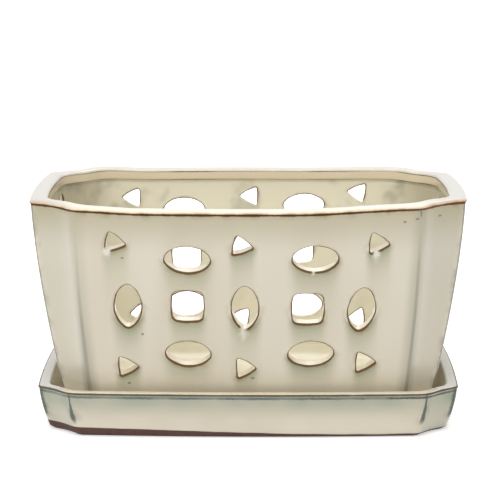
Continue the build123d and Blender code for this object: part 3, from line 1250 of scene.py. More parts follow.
    def place_slots(self, shell: Shell, glaze: bpy.types.Material) -> SlotLoops:
        """Lays the slots of all walls on the shell.

        Args:
            shell: The shell that gets their points and faces.
            glaze: Finish of the pot.

        Returns:
            Point numbers of each slot's loop on the outer and the inner face, by wall.
        """
        loops: SlotLoops = {}
        for wall in Wall:
            side = 0 if wall.is_long else 1
            slots, lean = self.slots.regular(self.columns[side], self.pitches[side]), self.leans[side]
            if wall in self.slots.cuts:
                slots = self.slots.cuts[wall].moved(slots)
            laid = self.slots.lay_out(slots, lean, glaze, self.slots.seed + wall.value)
            points = self.on_wall(wall, laid["flat"], lean)
            marks = {name: laid[name] for name in ("edge_gap", "sill", "tunnel", "inside")}
            below = np.where(laid["inside"] + laid["tunnel"] > 0, FAR, (points[:, 2] - self.top) / MM)
            below += self.lip_height / MM
            far = -FAR if wall.is_long else FAR
            ids = shell.add(points, lip_gap=below, long_gap=far, short_gap=-far, **marks)
            shell.faces.extend(ids[face].tolist() for face in laid["faces"])
            ends = {Face.OUTER: 0, Face.INNER: laid["slot_ring"].max()}
            loops[wall] = {face: [] for face in Face}
            for number in range(len(slots)):
                for face, ring in ends.items():
                    mine = np.flatnonzero((laid["slot_number"] == number) & (laid["slot_ring"] == ring))
                    loops[wall][face].append(ids[mine[np.argsort(laid["slot_step"][mine])]])
        return loops

    def on_wall(self, wall: Wall, flat: Array, lean: float) -> Array:
        """Lays flat points on a leaning wall.

        Args:
            wall: The wall.
            flat: Rows of distance along the wall, distance up it from the middle row, and depth into it.
            lean: Lean of the plane that the slots are cut square to.

        Returns:
            Points of the piece.
        """
        middle = self.form.ears(float(self.share(self.slots.middle_row)), 0.0)
        start = middle["side_y" if wall.is_long else "side_x"] + flat[:, 1] * math.sin(lean)
        height = self.slots.middle_row + flat[:, 1] * math.cos(lean)
        faces = []
        for levels in (self.outer_levels(), self.inner_levels()[::-1]):
            stands = self.form.reach(wall, flat[:, 0], levels)
            out = np.zeros(len(flat))
            for _ in range(self.laying_rounds):
                out = (stands(height - out * math.sin(lean)) - start) / math.cos(lean)
            faces.append(out)
        out = faces[0] + (faces[1] - faces[0]) * flat[:, 2] / self.slots.wall
        return wall.place(flat[:, 0], start + out * math.cos(lean), height - out * math.sin(lean))

    def wall_zone(
        self, shell: Shell, levels: list[Level], ends: tuple[Array, Array], slots: SlotLoops, face: Face
    ) -> None:
        """Fills a band of the wall between two loops, round its slots.

        Args:
            shell: The shell.
            levels: Levels of the band, its two end loops included.
            ends: Point numbers of the first and the last loop.
            slots: Loops of the slots on both faces, by wall.
            face: Which face of the wall this is.
        """
        grid = np.array([self.form.loop(level) for level in levels])
        gaps = [self.form.ear_gaps(level) for level in levels]
        ids = np.full(grid.shape[:2], -1)
        ids[0], ids[-1] = ends
        sides = {wall: self.form.side_columns(wall) for wall in Wall}
        every = np.arange(grid.shape[1])
        corner = np.setdiff1d(every, np.concatenate([columns[1:-1] for columns in sides.values()]))
        spans = np.setdiff1d(every, np.concatenate([columns[:-1] for columns in sides.values()]))
        inside = float(face is Face.INNER)

        plain = []
        for level in levels:
            lip = FAR if inside else (level.z - self.top + self.lip_height) / MM
            bead = (self.top - self.bead_height - level.z) / MM if inside else FAR
            plain.append({"inside": inside, "lip_gap": lip, "bead_gap": bead})

        def marks(row: int, columns: Array) -> dict[str, Array | float]:
            """Numbers kept at some points of one level."""
            return plain[row] | {name: gap[columns] for name, gap in gaps[row].items()}

        for row in range(1, len(levels) - 1):
            ids[row, corner] = shell.add(grid[row, corner], **marks(row, corner))
        for low, high in zip(ids, ids[1:]):
            shell.bridge(low, high, spans)
        profile = self.slots.mouth_profile()
        ring_gap = profile["outer_gap"][0] if face is Face.OUTER else profile["inner_gap"][-1]
        for wall, columns in sides.items():
            loops = slots[wall][face]
            flat_loops = [wall.flat(shell.points[loop]) for loop in loops]
            free = []
            for row in range(1, len(levels) - 1):
                points = grid[row, columns[1:-1]]
                flat = wall.flat(points)
                gap = np.full(len(points), FAR * MM)
                clear = np.ones(len(points), bool)
                for loop in flat_loops:
                    clear &= ~within(flat, loop)
                    gap = np.minimum(gap, gap_to(flat, loop))
                clear &= gap > self.slot_clear
                kept = marks(row, columns[1:-1][clear])
                free.append(shell.add(points[clear], edge_gap=gap[clear] / MM + ring_gap, **kept))
            border = np.concatenate(
                [ids[0, columns], ids[1:-1, columns[-1]], ids[-1, columns[::-1]], ids[-2:0:-1, columns[0]]]
            )
            shell.fill(border, loops, np.concatenate(free), wall.flat, upward=face is Face.OUTER)

    def drain_rings(self, shell: Shell) -> dict[Face, list[Array]]:
        """Makes the two drain holes with softened edges.

        Args:
            shell: The shell.

        Returns:
            Point numbers of their loops in the floor (inner) and in the underside (outer).
        """
        floor_z, under_z = self.seat + self.floor, self.seat + self.foot_rise
        radius, soft = self.drain / 2, self.drain_soft
        turns = rounding(self.drain_steps)
        path = [(radius + soft + self.drain_margin, floor_z)]
        path += [(radius + soft * short, floor_z - soft * far) for far, short in turns]
        path += [(radius + soft * far, under_z + soft * short) for far, short in turns]
        angles = np.linspace(0, 2 * math.pi, self.drain_points, endpoint=False)
        loops: dict[Face, list[Array]] = {face: [] for face in Face}
        for x in (-self.drain_spacing / 2, self.drain_spacing / 2):
            rings = []
            for size, z in path:
                circle = [x + size * np.cos(angles), size * np.sin(angles), np.full(len(angles), z)]
                gap = abs(size - radius - self.drain_line) / MM
                rings.append(shell.add(np.column_stack(circle), inside=1.0, edge_gap=gap))
            shell.stack(rings)
            loops[Face.INNER].append(rings[0])
            loops[Face.OUTER].append(rings[-1])
        return loops

    def pooled(self, shell: Shell, slots: SlotLoops) -> tuple[Array, Array]:
        """Glaze gathered under the slots.

        Args:
            shell: The shell.
            slots: Loops of the slots on both faces, by wall.

        Returns:
            How much has gathered close under the slots and how far its wash reaches, at each point.
        """
        points = shell.points
        pool, wash = np.zeros(len(points)), np.zeros(len(points))
        outside = (shell.mark("inside") < 0.5) & (shell.mark("tunnel") < 0.5)
        for wall in Wall:
            flat = wall.flat(points)
            out = wall.place(np.zeros(1), np.ones(1), np.zeros(1))[0]
            facing = outside & (points @ out > self.facing_from)
            for loop in slots[wall][Face.OUTER]:
                outline = wall.flat(points[loop])
                left, right = outline[:, 0].min(), outline[:, 0].max()
                middle, half = (left + right) / 2, (right - left) / 2
                lower = outline[outline[:, 1] < outline[:, 1].mean()]
                order = np.argsort(lower[:, 0])
                sill = np.interp(flat[:, 0], lower[order, 0], lower[order, 1])
                below = (sill - flat[:, 1]) / MM + self.pool_lift
                side = smooth(*self.pool_sides, np.abs(flat[:, 0] - middle) / half)
                under = np.where(facing, side * smooth(*self.pool_start, below), 0)
                pool = np.maximum(pool, under * np.exp(-np.maximum(below, 0) / self.pool_reach))
                wash = np.maximum(wash, under * np.exp(-np.maximum(below, 0) / self.wash_reach))
        return pool, wash

    def dripped(self, points: Array) -> Array:
        """Where glaze has run over an edge of the front and hides its brown line.

        Args:
            points: Points of the pot.

        Returns:
            How far each point is covered.
        """
        cover = np.zeros(len(points))
        front = points[:, 1] < -self.facing_from
        for drip in self.drips:
            away = np.hypot((points[:, 0] - drip.x) / drip.wide, (points[:, 2] - drip.z) / drip.tall)
            cover = np.maximum(cover, np.where(front, smooth(*self.drip_edge, away), 0))
        return cover

    def settled(self, points: Array) -> Array:
        """Lets the rim sag between its ends, and presses in the foot's weep notches.

        Args:
            points: Points of the pot as it was laid out.

        Returns:
            The moved points.
        """
        moved = points.copy()
        x, y, z = points.T
        high = smooth(self.sag_from, self.top, z)
        left = self.form.mixed(self.left_sag, self.middle_sag, smooth(*self.left_end, x))
        right = self.back_right_sag * smooth(*self.back_end, y)
        moved[:, 2] -= high * self.form.mixed(left, right, smooth(*self.right_end, x))
        ceiling = self.seat + self.foot_rise
        beside = np.abs(np.abs(x) - self.drain_spacing / 2) < self.weep_width / 2
        notch = beside & (np.abs(y) > self.weep_from) & (z < ceiling)
        moved[notch, 2] += self.weep_share * (ceiling - z[notch])
        return moved

    def build(self, glaze: bpy.types.Material) -> bpy.types.Object:
        """Builds the pot as one closed shell.

        Args:
            glaze: Finish of the pot.

        Returns:
            The pot.
        """
        shell = Shell(
            edge_gap=FAR, sill=0.0, tunnel=0.0, inside=0.0, rim=0.0, lip_gap=-FAR, bead_gap=FAR,
            long_gap=FAR, short_gap=FAR, pool=0.0, wash=0.0, drip=0.0,
        )
        slots = self.place_slots(shell, glaze)
        outer, inner = self.outer_levels(), self.inner_levels()
        base = [self.outer(z) for z in np.linspace(self.base_from, self.slotted_from, self.base_levels)]
        path = self.rim_path()
        rim = [outer[-1]] + [self.over_rim(z, inset) for z, inset in path] + [inner[0]]
        rim_marks = self.rim_marks(np.vstack([[outer[-1].z, 0], path, [inner[0].z, self.wall]]))
        foot_rings = shell.strip(self.form, self.foot_levels() + base)
        rim_rings = shell.strip(self.form, rim, **rim_marks)
        cove_rings = shell.strip(self.form, [inner[-1]] + self.cove_levels(), inside=1.0)
        self.wall_zone(shell, outer, (foot_rings[-1], rim_rings[0]), slots, Face.OUTER)
        self.wall_zone(shell, inner, (rim_rings[-1], cove_rings[0]), slots, Face.INNER)
        drains = self.drain_rings(shell)
        shell.plate(cove_rings[-1], drains[Face.INNER], upward=True, inside=1.0)
        shell.plate(foot_rings[0], drains[Face.OUTER], upward=False)
        pool, wash = self.pooled(shell, slots)
        shell.marks["pool"], shell.marks["wash"] = [pool], [wash]
        shell.marks["drip"] = [self.dripped(shell.points)]
        shell.parts = [self.settled(shell.points)]
        return shell.make("pot_body")

    def dress(self, piece: bpy.types.Object, glaze: bpy.types.Material) -> None:
        """Glazes the pot and sets it on its body in the frame.

        Args:
            piece: The pot.
            glaze: Its finish.
        """
        piece.data.materials.append(glaze)
        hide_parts("orchid_pot")
        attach(piece, "pot")


def tray_form() -> Form:
    """Outlines of the tray: the pot's base with a water gap and the tray's own wall round it.

    Returns:
        The tray's form.
    """
    return Form(
        length=(244.8 * MM, 233.4 * MM), depth=(144.8 * MM, 133.4 * MM),
        bow_long=(3 * MM, 3 * MM), bow_short=(1.5 * MM, 1.5 * MM),
        corner_length=(17.5 * MM, 17.5 * MM), corner_depth=(15 * MM, 15 * MM),
    )


@dataclass
class DripTray:
    """The tray: stands round the pot's base on bare clay and leans out to a lipped rim."""

    form: Form = field(default_factory=tray_form)
    height: float = 27.5 * MM
    floor: float = 7 * MM
    wall: float = 6.2 * MM
    curve: float = 1.6
    wall_from: float = 2 * MM
    wall_levels: int = 16
    inner_from: float = 25 * MM
    inner_levels: int = 7
    cove: float = 3 * MM
    cove_steps: int = 5

    # Corners: depth of their hollows and radii of their ears
    scoop: float = 1.5 * MM
    rim_ear: float = 15 * MM
    long_ear: float = 6 * MM
    short_ear: float = 4 * MM
    inside_ear: float = 12 * MM

    # Foot and rim; a roll's rows are heights and reaches in millimetres, with a share of the inner ears
    foot_chamfer: float = 2 * MM
    foot_width: float = 9 * MM
    foot_rise: float = 1.5 * MM
    recess_roll: tuple[Band, ...] = ((0.0, 0.5), (-0.2, 0.0))
    foot_roll: tuple[Band, ...] = ((0.3, 0.0), (0.0, -0.3))
    edge_roll: tuple[Point, ...] = ((0.0, 2.0, 0.5), (0.0, 0.3, 0.0), (0.15, -0.1, 0.0), (1.2, -1.3, 0.0))
    lip_out: float = 0.55 * MM
    lip_height: float = 1.3 * MM
    lip_roll: tuple[Band, ...] = ((-0.35, -0.04), (-0.1, -0.14), (0.0, -0.28), (0.15, -0.45))
    under_lip: float = 0.9 * MM
    crown_width: float = 2.4 * MM
    crown_drop: float = 0.3 * MM
    crown_ear: float = 0.15
    rim_steps: int = 7
    rim_middle: Point = (-0.05 * MM, 2.8 * MM, 0.5)
    rim_round: float = 1.4 * MM
    rim_fall: float = 0.1 * MM
    rim_inner_ear: float = 0.85
    inside_row: int = 6
    rim_row: int = 8

    def level(self, z: float, inset: float, inside: float) -> Level:
        """Draws a level of the tray.

        Args:
            z: Height.
            inset: Distance in from the outer face.
            inside: 0 for the outer ears, 1 for the wide inner ones.

        Returns:
            The level.
        """
        share = (1 - min(z / self.height, 1)) ** self.curve
        outer_ear = self.form.mixed(self.rim_ear, self.long_ear, share)
        long_ear = self.form.mixed(outer_ear, self.inside_ear, inside)
        short_ear = self.form.mixed(self.short_ear, self.inside_ear, inside)
        return Level(z, share, inset, self.scoop, long_ear, short_ear)

    def path(self) -> list[Point]:
        """Way from the recess underneath, up the outside, over the rim and down to the floor.

        Returns:
            Height, distance in from the outer face, and share of the wide inner ears.
        """
        top, low, inner = self.height, self.height - self.lip_height, self.wall
        wide, edge = self.foot_width, self.foot_chamfer
        path = [(self.foot_rise + rise * MM, wide + reach * MM, 1.0) for rise, reach in self.recess_roll]
        path += [(rise * MM, wide + reach * MM, 1.0) for rise, reach in self.foot_roll]
        path += [(rise * MM, edge + reach * MM, ear) for rise, reach, ear in self.edge_roll]
        path += [(z, 0.0, 0.0) for z in np.linspace(self.wall_from, low - self.under_lip, self.wall_levels)]
        path += [(low + rise * MM, reach * MM, 0.0) for rise, reach in self.lip_roll]
        climb = self.lip_height - self.crown_drop
        for far, short in rounding(self.rim_steps):
            path.append((top - climb * short, self.crown_width * far - self.lip_out, self.crown_ear))
        fall, inset, ear = self.rim_middle
        path.append((top + fall, inset, ear))
        for far, short in rounding(self.rim_steps):
            fall = self.rim_fall + self.rim_round * far
            path.append((top - fall, inner - self.rim_round * short, self.rim_inner_ear))
        cove_top = self.floor + self.cove
        path += [(z, inner, 1.0) for z in np.linspace(self.inner_from, cove_top, self.inner_levels)]
        for far, short in rounding(self.cove_steps)[1:]:
            path.append((self.floor + self.cove * short, inner + self.cove * far, 1.0))
        return path

    def build(self) -> bpy.types.Object:
        """Builds the tray as one closed shell.

        Returns:
            The tray.
        """
        path = np.array(self.path())
        run, rows = run_along(path[:, :2]) / MM, np.arange(len(path))
        lip = np.argmin(np.abs(path[:, 0] - self.height + self.lip_height) + (path[:, 1] > 0))
        peak = np.argmax(path[:, 0])
        shell = Shell(long_gap=FAR, short_gap=FAR, lip_gap=FAR, inside=0.0, rim=0.0)
        rings = shell.strip(
            self.form, [self.level(*place) for place in path], lip_gap=run - run[lip],
            inside=rows > peak + self.inside_row, rim=(rows > lip) & (rows <= peak + self.rim_row),
        )
        shell.plate(rings[-1], [], upward=True, inside=1.0)
        shell.plate(rings[0], [], upward=False)
        return shell.make("tray_body")

    def dress(self, piece: bpy.types.Object, glaze: bpy.types.Material) -> None:
        """Glazes the tray and sets it on its body in the frame.

        Args:
            piece: The tray.
            glaze: Its finish.
        """
        piece.data.materials.append(glaze)
        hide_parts("drip_tray")
        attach(piece, "tray")


def shade(red: float, green: float, blue: float) -> Colour:
    """A colour as it is seen on screen, from 0 to 255, as the shader needs it."""
    screen = np.array([red, green, blue]) / 255
    return tuple(np.where(screen <= 0.04045, screen / 12.92, ((screen + 0.055) / 1.055) ** 2.4).tolist())


def tint(red: float, green: float, blue: float, cover: float = 1.0) -> Tint:
    """A colour as it is seen on screen, and how far it hides what lies under it."""
    return shade(red, green, blue), cover


class Board:
    """Adds nodes to a tree and wires them together."""

    def __init__(self, tree: bpy.types.NodeTree) -> None:
        """Takes the tree to work on."""
        self.tree = tree

    def feed(self, socket: Socket, value: object) -> None:
        """Links an output to a socket, or sets the socket's own value.

        Args:
            socket: The socket.
            value: An output, a number or a colour.
        """
        if isinstance(value, bpy.types.NodeSocket):
            self.tree.links.new(value, socket)
        elif socket.type == "RGBA":
            socket.default_value = (*value, 1.0)
        else:
            socket.default_value = value

    def put(self, kind: str, values: dict | None = None, **settings: object) -> bpy.types.Node:
        """Adds a node.

        Args:
            kind: Blender's name for the node.
            values: What feeds its inputs, by name or number.
            settings: Its own options.

        Returns:
            The node.
        """
        node = self.tree.nodes.new(kind)
        for name, value in settings.items():
            setattr(node, name, value)
        for name, value in (values or {}).items():
            self.feed(node.inputs[name], value)
        return node

    def group(self, group: bpy.types.NodeTree, values: dict[str, object]) -> bpy.types.NodeOutputs:
        """Places a node group and gives its outputs."""
        return self.put("ShaderNodeGroup", values, node_tree=group).outputs

    def math(self, operation: str, first: object, second: object = 0.0) -> Socket:
        """A sum of two numbers."""
        return self.put("ShaderNodeMath", {0: first, 1: second}, operation=operation).outputs[0]

    def vector(self, operation: str, first: object, second: object = (0, 0, 0)) -> bpy.types.NodeOutputs:
        """A sum of two vectors."""
        return self.put("ShaderNodeVectorMath", {0: first, 1: second}, operation=operation).outputs

    def times(self, *values: object) -> Socket:
        """Numbers multiplied."""
        return reduce(lambda first, second: self.math("MULTIPLY", first, second), values)

    def most(self, *values: object) -> Socket:
        """The greatest of some numbers."""
        return reduce(lambda first, second: self.math("MAXIMUM", first, second), values)

    def rest(self, share: object) -> Socket:
        """What a share leaves of the whole."""
        return self.math("SUBTRACT", 1.0, share)

    def scaled(self, value: object, slope: float, base: float) -> Socket:
        """A number scaled and raised."""
        return self.math("ADD", self.times(value, slope), base)

    def step(self, value: object, low: object, high: object, start: float = 0.0, end: float = 1.0) -> Socket:
        """A soft step from start at low to end at high."""
        values = {"Value": value, "From Min": low, "From Max": high, "To Min": start, "To Max": end}
        return self.put("ShaderNodeMapRange", values, interpolation_type="SMOOTHSTEP").outputs[0]

    def mix(self, share: object, first: object, second: object) -> Socket:
        """A mixture of two colours."""
        return self.put("ShaderNodeMix", {0: share, 6: first, 7: second}, data_type="RGBA").outputs[2]

    def noise(self, where: Socket, scale: object, detail: float = 2.0, stretch: Point = (1, 1, 1)) -> Socket:
        """Soft noise between 0 and 1, drawn out by dividing stretch along each axis."""
        values = {"Vector": self.vector("MULTIPLY", where, stretch)[0], "Scale": scale, "Detail": detail}
        return self.put("ShaderNodeTexNoise", values).outputs[0]


class GlazeEffects:
    """Shader node groups that both glazes use."""

    # Broken edge: scales of its noise, spans of line and stain in line widths, and the stain's patches
    slow_scale: float = 130.0
    quick_scale: float = 650.0
    line_span: Band = (0.55, 1.35)
    stain_width: float = 4.5
    stain_patches: Ramp = (0.35, 0.7)

    # Mottle: clouds, downward runs, pinholes, and the fine and wide waves of the skin
    cloud_detail: float = 3.0
    cloud_span: Ramp = (0.25, 0.75)
    run_scale: float = 40.0
    run_detail: float = 1.0
    run_stretch: Point = (1, 1, 0.15)
    run_span: Ramp = (0.2, 0.8)
    pinhole_scale: float = 95.0
    pinhole_span: Ramp = (0.03, 0.1, 1.0, 0.0)
    fine_scale: float = 420.0
    fine_share: float = 0.25
    wide_scale: float = 45.0

    def __init__(self) -> None:
        """Builds the groups once."""
        self.edge_break = self.make_edge_break()
        self.mottle = self.make_mottle()

    @staticmethod
    def open_group(name: str, inputs: tuple[str, ...], outputs: tuple[str, ...]) -> tuple[Board, dict, dict]:
        """Starts a group of number sockets.

        Args:
            name: Name of the group.
            inputs: Names of its inputs.
            outputs: Names of its outputs.

        Returns:
            A board for the group, its inputs and its outputs by name.
        """
        tree = bpy.data.node_groups.new(name, "ShaderNodeTree")
        for way, sockets in (("INPUT", inputs), ("OUTPUT", outputs)):
            for socket in sockets:
                tree.interface.new_socket(socket, in_out=way, socket_type="NodeSocketFloat")
        board = Board(tree)
        given, out = board.put("NodeGroupInput").outputs, board.put("NodeGroupOutput").inputs
        return board, {name: given[name] for name in inputs}, {name: out[name] for name in outputs}

    def make_edge_break(self) -> bpy.types.NodeTree:
        """Line where the glaze draws back from an edge, and the warm stain beside it.

        Returns:
            The group.
        """
        board, given, out = self.open_group("glaze_break", ("Gap", "Width", "Ragged"), ("Line", "Stain"))
        where = board.put("ShaderNodeTexCoord").outputs["Object"]
        slow = board.noise(where, self.slow_scale)
        quick = board.math("SUBTRACT", board.noise(where, self.quick_scale), 0.5)
        width = board.times(given["Width"], board.math("ADD", slow, 0.5))
        gap = board.math("ADD", board.math("ABSOLUTE", given["Gap"]), board.times(quick, given["Ragged"]))
        near, far = (board.times(width, share) for share in self.line_span)
        board.feed(out["Line"], board.step(gap, near, far, 1.0, 0.0))
        stain = board.step(gap, 0.0, board.times(width, self.stain_width), 1.0, 0.0)
        board.feed(out["Stain"], board.times(stain, board.step(slow, *self.stain_patches)))
        return board.tree

    def make_mottle(self) -> bpy.types.NodeTree:
        """Uneven tone, downward runs, pinholes and the skin of a thick glaze.

        Returns:
            The group.
        """
        inputs, outputs = ("Cloud size", "Speck share"), ("Tone", "Runs", "Speck", "Height")
        board, given, out = self.open_group("glaze_mottle", inputs, outputs)
        where = board.put("ShaderNodeTexCoord").outputs["Object"]
        cloud = board.noise(where, given["Cloud size"], self.cloud_detail)
        runs = board.noise(where, self.run_scale, self.run_detail, self.run_stretch)
        board.feed(out["Tone"], board.step(cloud, *self.cloud_span))
        board.feed(out["Runs"], board.step(runs, *self.run_span))
        cells = board.put("ShaderNodeTexVoronoi", {"Vector": where, "Scale": self.pinhole_scale}).outputs
        lot = board.put("ShaderNodeSeparateColor", {0: cells["Color"]}).outputs[0]
        chosen = board.math("LESS_THAN", lot, given["Speck share"])
        board.feed(out["Speck"], board.times(chosen, board.step(cells["Distance"], *self.pinhole_span)))
        fine = board.times(board.noise(where, self.fine_scale), self.fine_share)
        board.feed(out["Height"], board.math("ADD", fine, board.noise(where, self.wide_scale)))
        return board.tree


class GlazeBench(Board):
    """A glaze in the making: its nodes, what it reads from the piece, and its colour, built up in coats."""

    def __init__(self, name: str, effects: GlazeEffects, mottle: dict[str, float], *colours: Colour) -> None:
        """Starts a material.

        Args:
            name: Name of the material.
            effects: The shared node groups.
            mottle: Values of the mottle's inputs.
            colours: First coat between the glaze's runs and in them.
        """
        self.made = bpy.data.materials.new(name)
        self.made.use_nodes = True
        super().__init__(self.made.node_tree)
        self.effects = effects
        self.tone, self.runs, self.specks, self.waves = self.group(effects.mottle, mottle)
        self.where = self.put("ShaderNodeTexCoord").outputs["Object"]
        self.x, self.y, self.z = self.put("ShaderNodeSeparateXYZ", {0: self.where}).outputs
        self.along = self.math("ABSOLUTE", self.x)
        self.inside, self.rim = self.mark("inside"), self.mark("rim")
        self.lip_gap, self.long_gap, self.short_gap = map(self.mark, ("lip_gap", "long_gap", "short_gap"))
        self.outside = self.rest(self.most(self.inside, self.rim))
        self.colour = self.mix(self.runs, *colours)

    def mark(self, name: str) -> Socket:
        """A number that the piece keeps at its points."""
        return self.put("ShaderNodeAttribute", attribute_name=name).outputs["Fac"]

    def lay(self, coat: Tint, *shares: object) -> None:
        """Lays a coat over the colour so far, where the shares, multiplied, let it show."""
        colour, cover = coat
        self.colour = self.mix(self.times(*shares, cover), self.colour, colour)

    def patches(self, scale: float, *ramp: float) -> Socket:
        """Soft patches of noise."""
        return self.step(self.noise(self.where, scale), *ramp)

    def hollow(self, fade: float) -> Socket:
        """How far a point lies in the hollow of a corner, which is full at a gap of fade from its ears."""
        gaps = (self.step(gap, 0.0, fade) for gap in (self.long_gap, self.short_gap))
        return self.times(*gaps, self.outside)

    def edge(self, gap: Socket, width: object, ragged: float) -> tuple[Socket, Socket]:
        """Breaks the glaze along an edge, and gives the line and the stain beside it."""
        broken = self.group(self.effects.edge_break, {"Gap": gap, "Width": width, "Ragged": ragged})
        return broken["Line"], broken["Stain"]


@dataclass(frozen=True)
class GlazeFinish:
    """Pale celadon glaze over brown clay: cream where thick, brown or blue where it breaks on an edge.

    Heights and places are in metres, gaps from edges in millimetres. A line is its width and how far it
    strays, patches start with the scale of their noise, and a scaled mask is its slope and base.
    """

    name: str = "glaze"
    cloud_scale: float = 9.0
    pinhole_share: float = 0.012
    pinhole: Tint = tint(120, 118, 106, 0.6)
    cream_dark: Colour = shade(214, 205, 184)
    cream_light: Colour = shade(222, 214, 195)
    clay: Colour = shade(109, 83, 75)
    ior: float = 1.5
    specular: float = 0.2
    coat: float = 0.65
    coat_roughness: float = 0.22
    cloud_roughness: Band = (0.06, 0.2)
    bare_roughness: float = 0.45
    bump_strength: float = 0.3
    bump_depth: float = 0.4 * MM

    def start(self, effects: GlazeEffects) -> GlazeBench:
        """Starts the material in cream, paler in its runs."""
        mottle = {"Cloud size": self.cloud_scale, "Speck share": self.pinhole_share}
        return GlazeBench(self.name, effects, mottle, self.cream_dark, self.cream_light)

    def finish(self, bench: GlazeBench, bare: Socket) -> bpy.types.Material:
        """Feeds the shader: glossy and uneven where there is glaze, dull where the clay is bare.

        Args:
            bench: The glaze in the making.
            bare: Where the clay is bare or barely covered.

        Returns:
            The material.
        """
        glaze = bench.scaled(bench.tone, *self.cloud_roughness)
        waves = {"Strength": self.bump_strength, "Distance": self.bump_depth, "Height": bench.waves}
        skin = bench.made.node_tree.nodes["Principled BSDF"].inputs
        for name, value in (
            ("IOR", self.ior), ("Specular IOR Level", self.specular),
            ("Coat IOR", self.ior), ("Coat Roughness", self.coat_roughness),
            ("Base Color", bench.colour),
            ("Roughness", bench.math("ADD", glaze, bench.times(bare, self.bare_roughness))),
            ("Coat Weight", bench.step(bare, 0.0, 1.0, self.coat, 0.0)),
            ("Normal", bench.put("ShaderNodeBump", waves).outputs[0]),
        ):
            bench.feed(skin[name], value)
        return bench.made


